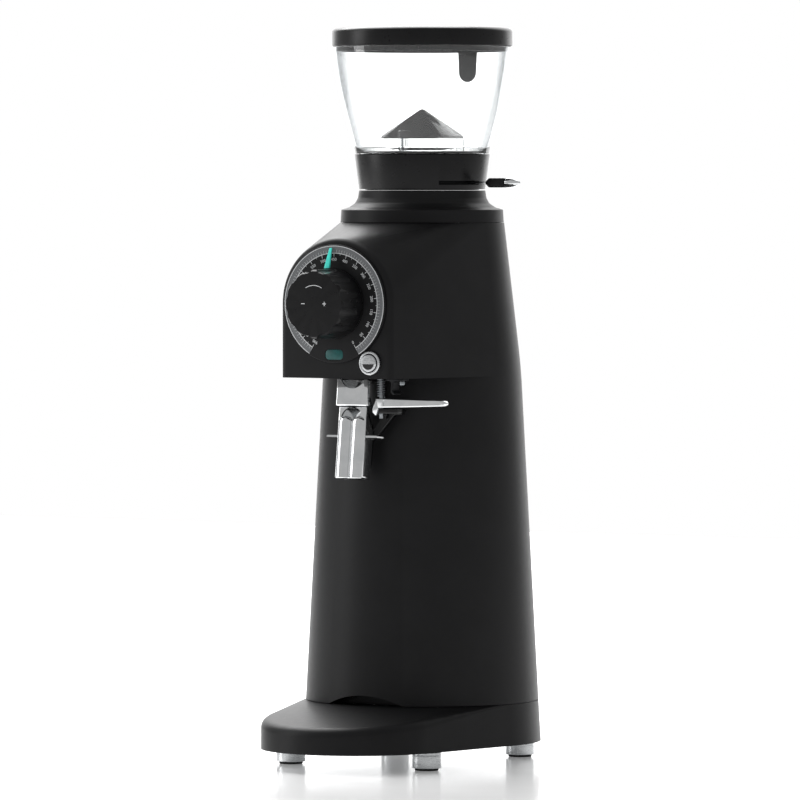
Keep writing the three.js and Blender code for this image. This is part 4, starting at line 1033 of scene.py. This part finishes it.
def make_button():
    bezel = turned([
        (BUTTON_RADIUS + GAP, GAP), (BEZEL_RADIUS, GAP), (BEZEL_RADIUS, 3, 1.2),
        (BUTTON_RADIUS + 1, 3, 0.4), (BUTTON_RADIUS + GAP, 2),
    ], SMALL_STEPS)
    piece("button_ring", facing(bezel, BUTTON_X, BUTTON_HEIGHT), "root", "chrome", TURNED,
          "button_bezel")
    stem, under = BUTTON_RADIUS - 1.6, 2.5
    cap = turned([
        (0, -7), (stem, -7, 0.4), (stem, under), (BUTTON_RADIUS, under), (BUTTON_RADIUS, 4.4, 0.9),
        (0, 4.4),
    ], SMALL_STEPS)
    piece("button_cap", facing(cap, BUTTON_X, BUTTON_HEIGHT), "button", "satin_steel", TURNED,
          "start_button")
    outline = [(5.9 * math.cos(math.radians(a)), 5.9 * math.sin(math.radians(a)))
               for a in range(188, 353, 4)]
    moon = moved(extruded(outline, 0.1), 0, 0, 4.36)
    piece("button_moon", facing(moon, BUTTON_X, BUTTON_HEIGHT), "button", "satin_steel", BLACK_INK)


# ---- spout and bag clamp ----
def leaning(bm):
    return spun(bm, -SPOUT_LEAN, "X", (0, SPOUT_Y, HEAD_BOTTOM))


def channel(width, depth, bottom, top, wall, edge):
    outer = softened(
        block(-width / 2, width / 2, SPOUT_Y - depth / 2, SPOUT_Y + depth / 2, bottom, top), edge, 4)
    inner = block(wall - width / 2, width / 2 - wall, SPOUT_Y - depth / 2 + wall,
                  SPOUT_Y + depth / 2 - wall, bottom - PAST, top + PAST)
    return cut(outer, inner)


def arch_tool(radius, height, front, back):
    return moved(spun(rod(radius, 0, back - front, 96), 90, "X"), 0, back, height)


def make_spout():
    top = HEAD_BOTTOM - 1.9
    depth = SPOUT_DEPTH + 6
    body = channel(SPOUT_WIDTH + 4, depth, BLOCK_BOTTOM, top, 2.6, 1.4)
    mouth = arch_tool(13, top + 4, SPOUT_Y - depth, SPOUT_Y - depth / 2 + 4)
    piece("spout_head", leaning(clean(cut(body, mouth))), "root", "chrome", CHROME, "spout_block")

    top = BLOCK_BOTTOM - GAP
    half, front, back = SPOUT_WIDTH / 2, SPOUT_Y - SPOUT_DEPTH / 2, SPOUT_Y + SPOUT_DEPTH / 2
    sill, crown = top - WINDOW_DROP, top - LOBE_DROP
    chute = joined(channel(SPOUT_WIDTH, SPOUT_DEPTH, SPOUT_TIP, top, CHUTE_WALL, 1.2), make_ears())
    arch = arch_tool(WINDOW_RADIUS, sill + 1.5, SPOUT_Y - SPOUT_DEPTH, front + 3)
    above = block(-half, half, front - 9, front + 4, sill, top + PAST)
    chute = cut(chute, combined(arch, above, "INTERSECT"))
    for side in (-1, 1):
        lobe = turned([(0, SPOUT_TIP), (LOBE_RADIUS, SPOUT_TIP, 0.9), (LOBE_RADIUS, crown - 4, 3),
                       (4.9, crown - 1.2, 3), (0, crown)], 80)
        bmesh.ops.scale(lobe, vec=(1, LOBE_FLATNESS, 1), verts=lobe.verts)
        chute = joined(chute, moved(lobe, side * LOBE_OFFSET, front + 1, 0))
    bore = block(CHUTE_WALL - half, half - CHUTE_WALL, front + CHUTE_WALL, back - CHUTE_WALL,
                 SPOUT_TIP - PAST, top + PAST)
    corners = [(-half, SPOUT_TIP, 3.4), (half, SPOUT_TIP, 2.2), (half, EAR_HEIGHT - 6),
               (EAR_REACH, EAR_HEIGHT - 6), (EAR_REACH, top), (-EAR_REACH, top),
               (-EAR_REACH, EAR_HEIGHT - 6), (-half, EAR_HEIGHT - 6)]
    outline = moved(spun(extruded(corners, 40), 90, "X"), 0, back + 20, 0)
    whole = combined(cut(chute, bore), outline, "INTERSECT")
    piece("spout_channel", leaning(clean(whole)), "root", "chrome", CHROME, "spout_chute")


def make_ears():
    """Two thin ears on the sides of the chute stop the mouth of a bag."""
    height = HEAD_BOTTOM - (HEAD_BOTTOM - EAR_HEIGHT) / math.cos(math.radians(SPOUT_LEAN))
    thick = EAR_THICKNESS / 2
    oval = turned([(0, height - thick), (EAR_REACH, height - thick, 0.6),
                   (EAR_REACH, height + thick, 0.6), (0, height + thick)], 128)
    bmesh.ops.scale(oval, vec=(1, EAR_FLATNESS, 1), verts=oval.verts)
    kept = block(-EAR_REACH, EAR_REACH, SPOUT_Y - 5.5, SPOUT_Y + 6.5, height - 4, height + 4)
    return combined(moved(oval, 0, SPOUT_Y + 2, 0), softened(kept, 0.5, 3), "INTERSECT")


def pin_hole():
    return moved(rod(2.1, 300, 340, 32), CLAMP_PIVOT_X, CLAMP_Y, 0)


def make_clamp():
    root, tip = CLAMP_PIVOT_X - 4, CLAMP_REACH
    outline = [(root, -4.4, 1), (tip - 2, -2.0, 1.6), (tip, 0.4, 1.8), (tip - 2, 3.2, 1.6),
               (root, 4.2, 1)]
    bar = softened(extruded(outline, 7.2), 0.8, 3, 50)
    rim = [(root + 8, -2.4, 0.8), (tip - 6, -0.7, 0.8), (tip - 6, 1.9, 0.8), (root + 8, 2.6, 0.8)]
    recess = moved(extruded(rim, 1.4), 0, 0, 6.5)
    bar = cut(bar, recess)
    moved(spun(bar, 90, "X"), 0, CLAMP_Y + 3.6, CLAMP_HEIGHT)
    corners = [(18, 315.5), (18, 318.5), (root + 1, 327.5), (root + 3, 319), (21.5, 312.5)]
    hub = softened(hull([(x, CLAMP_Y + y, z) for x, z in corners for y in (-4, 4)]), 0.6, 3)
    lever = cut(joined(bar, hub), pin_hole())
    piece("bag_lever", clean(lever), "clamp", "chrome", CHROME, "clamp_lever")

    low, high = span("clamp_pin")
    pin = turned([(0, low.z), (1.8, low.z, 0.4), (1.8, high.z, 0.4), (0, high.z)], 40)
    piece("pivot_pin", moved(pin, CLAMP_PIVOT_X, CLAMP_Y, 0), "root", "hard_steel", GROUND,
          "clamp_pin")
    make_jaw()
    make_clamp_spring()
    make_bracket()


def make_jaw():
    """The jaw hangs behind the chute from a plate under the lever."""
    outline = [(24, 318.9), (44, 318.9, 1), (42, 314.4, 2), (34, 313.6, 4), (16, 292, 4),
               (12, 290, 3), (11.5, 262, 8), (-11.5, 262, 8), (-12, 297, 1), (14, 299, 3)]
    web = softened(extruded(outline, 5), 0.6, 3, 50)
    moved(spun(web, 90, "X"), 0, SPOUT_Y + SPOUT_DEPTH / 2 + 5.3, 0)
    plate = softened(block(22.5, 44, CLAMP_Y - 4, CLAMP_Y + 9, 314.4, 318.9), 0.6, 3)
    hub_space = block(10, 24.6, CLAMP_Y - 10, CLAMP_Y + 4.3, 310, 322)
    jaw = cut(joined(leaning(web), plate), pin_hole(), hub_space)
    piece("bag_jaw", clean(jaw), "clamp", "moulded_black", GLOSS, "clamp_jaw")


def make_clamp_spring():
    low, high = span("clamp_spring")
    wire, turns, steps = 0.45, 8, 24
    points = []
    for i in range(turns * steps + 1):
        angle = 2 * math.pi * i / steps
        level = low.z + wire + (high.z - low.z - 2 * wire) * i / (turns * steps)
        points.append((3.2 * math.cos(angle), 3.2 * math.sin(angle), level))
    curve = bpy.data.curves.new("coil", "CURVE")
    curve.dimensions = "3D"
    curve.bevel_depth = wire
    curve.bevel_resolution = 3
    curve.use_fill_caps = True
    line = curve.splines.new("POLY")
    line.points.add(len(points) - 1)
    for point, place in zip(line.points, points):
        point.co = (*place, 1)
    obj = bpy.data.objects.new("coil", curve)
    bpy.context.scene.collection.objects.link(obj)
    coil = evaluated(obj)
    bpy.data.curves.remove(curve)
    piece("clamp_coil", moved(clean(coil), CLAMP_PIVOT_X, CLAMP_Y, 0), "root", "hard_steel", GROUND,
          "clamp_spring")


def make_bracket():
    top = HEAD_BOTTOM - GAP
    under = top - 2.2
    outline = [(34, top), (34, under, 0.6), (38.8, under, 3), (38.4, 333, 3), (41, 331, 0.6),
               (42.5, 332.2, 0.6), (40.1, 335, 3), (40.6, under, 3), (50, under, 0.8), (50, top, 0.8)]
    bracket = softened(extruded(outline, 12), 0.35, 2, 50)
    moved(spun(bracket, 90, "X"), 0, CLAMP_Y + 6, 0)
    piece("hook_bracket", bracket, "root", "satin_steel", DARK_STEEL, "clamp_bracket")
    low, high = span("bracket_screw")
    screw = turned([(0, low.z), (2.6, low.z, 1.2), (2.6, high.z, 0.3), (0, high.z)], 48)
    slot = block(-3, 3, -0.4, 0.4, low.z - PAST, low.z + 0.9)
    screw = moved(cut(screw, slot), 46.5, CLAMP_Y, 0)
    piece("slotted_screw", screw, "root", "hard_steel", GROUND, "bracket_screw")


# ---- the pieces inside keep their CAD shape and get their real finish ----
INSIDE = {
    CAST: ["grind_chamber", "upper_carrier", "lower_carrier", "outlet_chute", "motor_housing",
           "motor_bracket"],
    GROUND: ["upper_burr", "lower_burr", "burr_spring", "carrier_nut", "drive_shaft",
             "bearing_lower", "bearing_upper", "knob_shaft"],
    STACK: ["motor_stator", "motor_rotor"],
    BRASS: ["adjust_ring", "knob_bush"],
    ABS: ["feed_throat", "cooling_fan"],
    NYLON: ["start_switch", "run_capacitor"],
    BOARD: ["control_board"],
}


def finish_inside():
    for material, names in INSIDE.items():
        for name in names:
            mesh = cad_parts[name].data
            mesh.materials.clear()
            mesh.materials.append(material)


def make_floor():
    bm = bmesh.new()
    bmesh.ops.create_grid(bm, x_segments=1, y_segments=1, size=FLOOR_REACH)
    floor = as_object(moved(bm, 0, 0, -FLOOR_DROP), "floor")
    floor.data.materials.append(opal_table())


def light_scene():
    """A white studio: a lit backdrop behind, softboxes above and to the left, a dim room."""
    scene = bpy.context.scene
    scene.view_settings.view_transform = "Standard"
    world = bpy.data.worlds.new("studio")
    scene.world = world
    world.use_nodes = True
    tree = world.node_tree
    tree.nodes.clear()
    seen = add(tree, "ShaderNodeLightPath").outputs["Is Camera Ray"]
    room = add(tree, "ShaderNodeBackground", {"Color": (1, 1, 1, 1), "Strength": 0.5})
    white = add(tree, "ShaderNodeBackground", {"Color": (1, 1, 1, 1), "Strength": 1.0})
    mixed = add(tree, "ShaderNodeMixShader", {
        0: seen, 1: room.outputs["Background"], 2: white.outputs["Background"],
    })
    add(tree, "ShaderNodeOutputWorld", {"Surface": mixed.outputs["Shader"]})
    add_softbox("backdrop", (-2.0, 4.2, 2.2), (8, 5.4), 230, (0, 0, 0.4))
    add_softbox("overhead", (-1.3, 0.9, 2.6), (2.6, 2.6), 130)
    add_softbox("front_left", (-2.6, -1.6, 1.2), (1.0, 2.2), 26)


add_camera()
light_scene()
make_floor()
make_base()
make_feet()
make_body()
make_top_cover()
make_cord_gland()
make_collar()
make_jar()
make_lid()
make_guard()
make_shutter()
make_dial()
make_knob()
make_button()
make_spout()
make_clamp()
finish_inside()
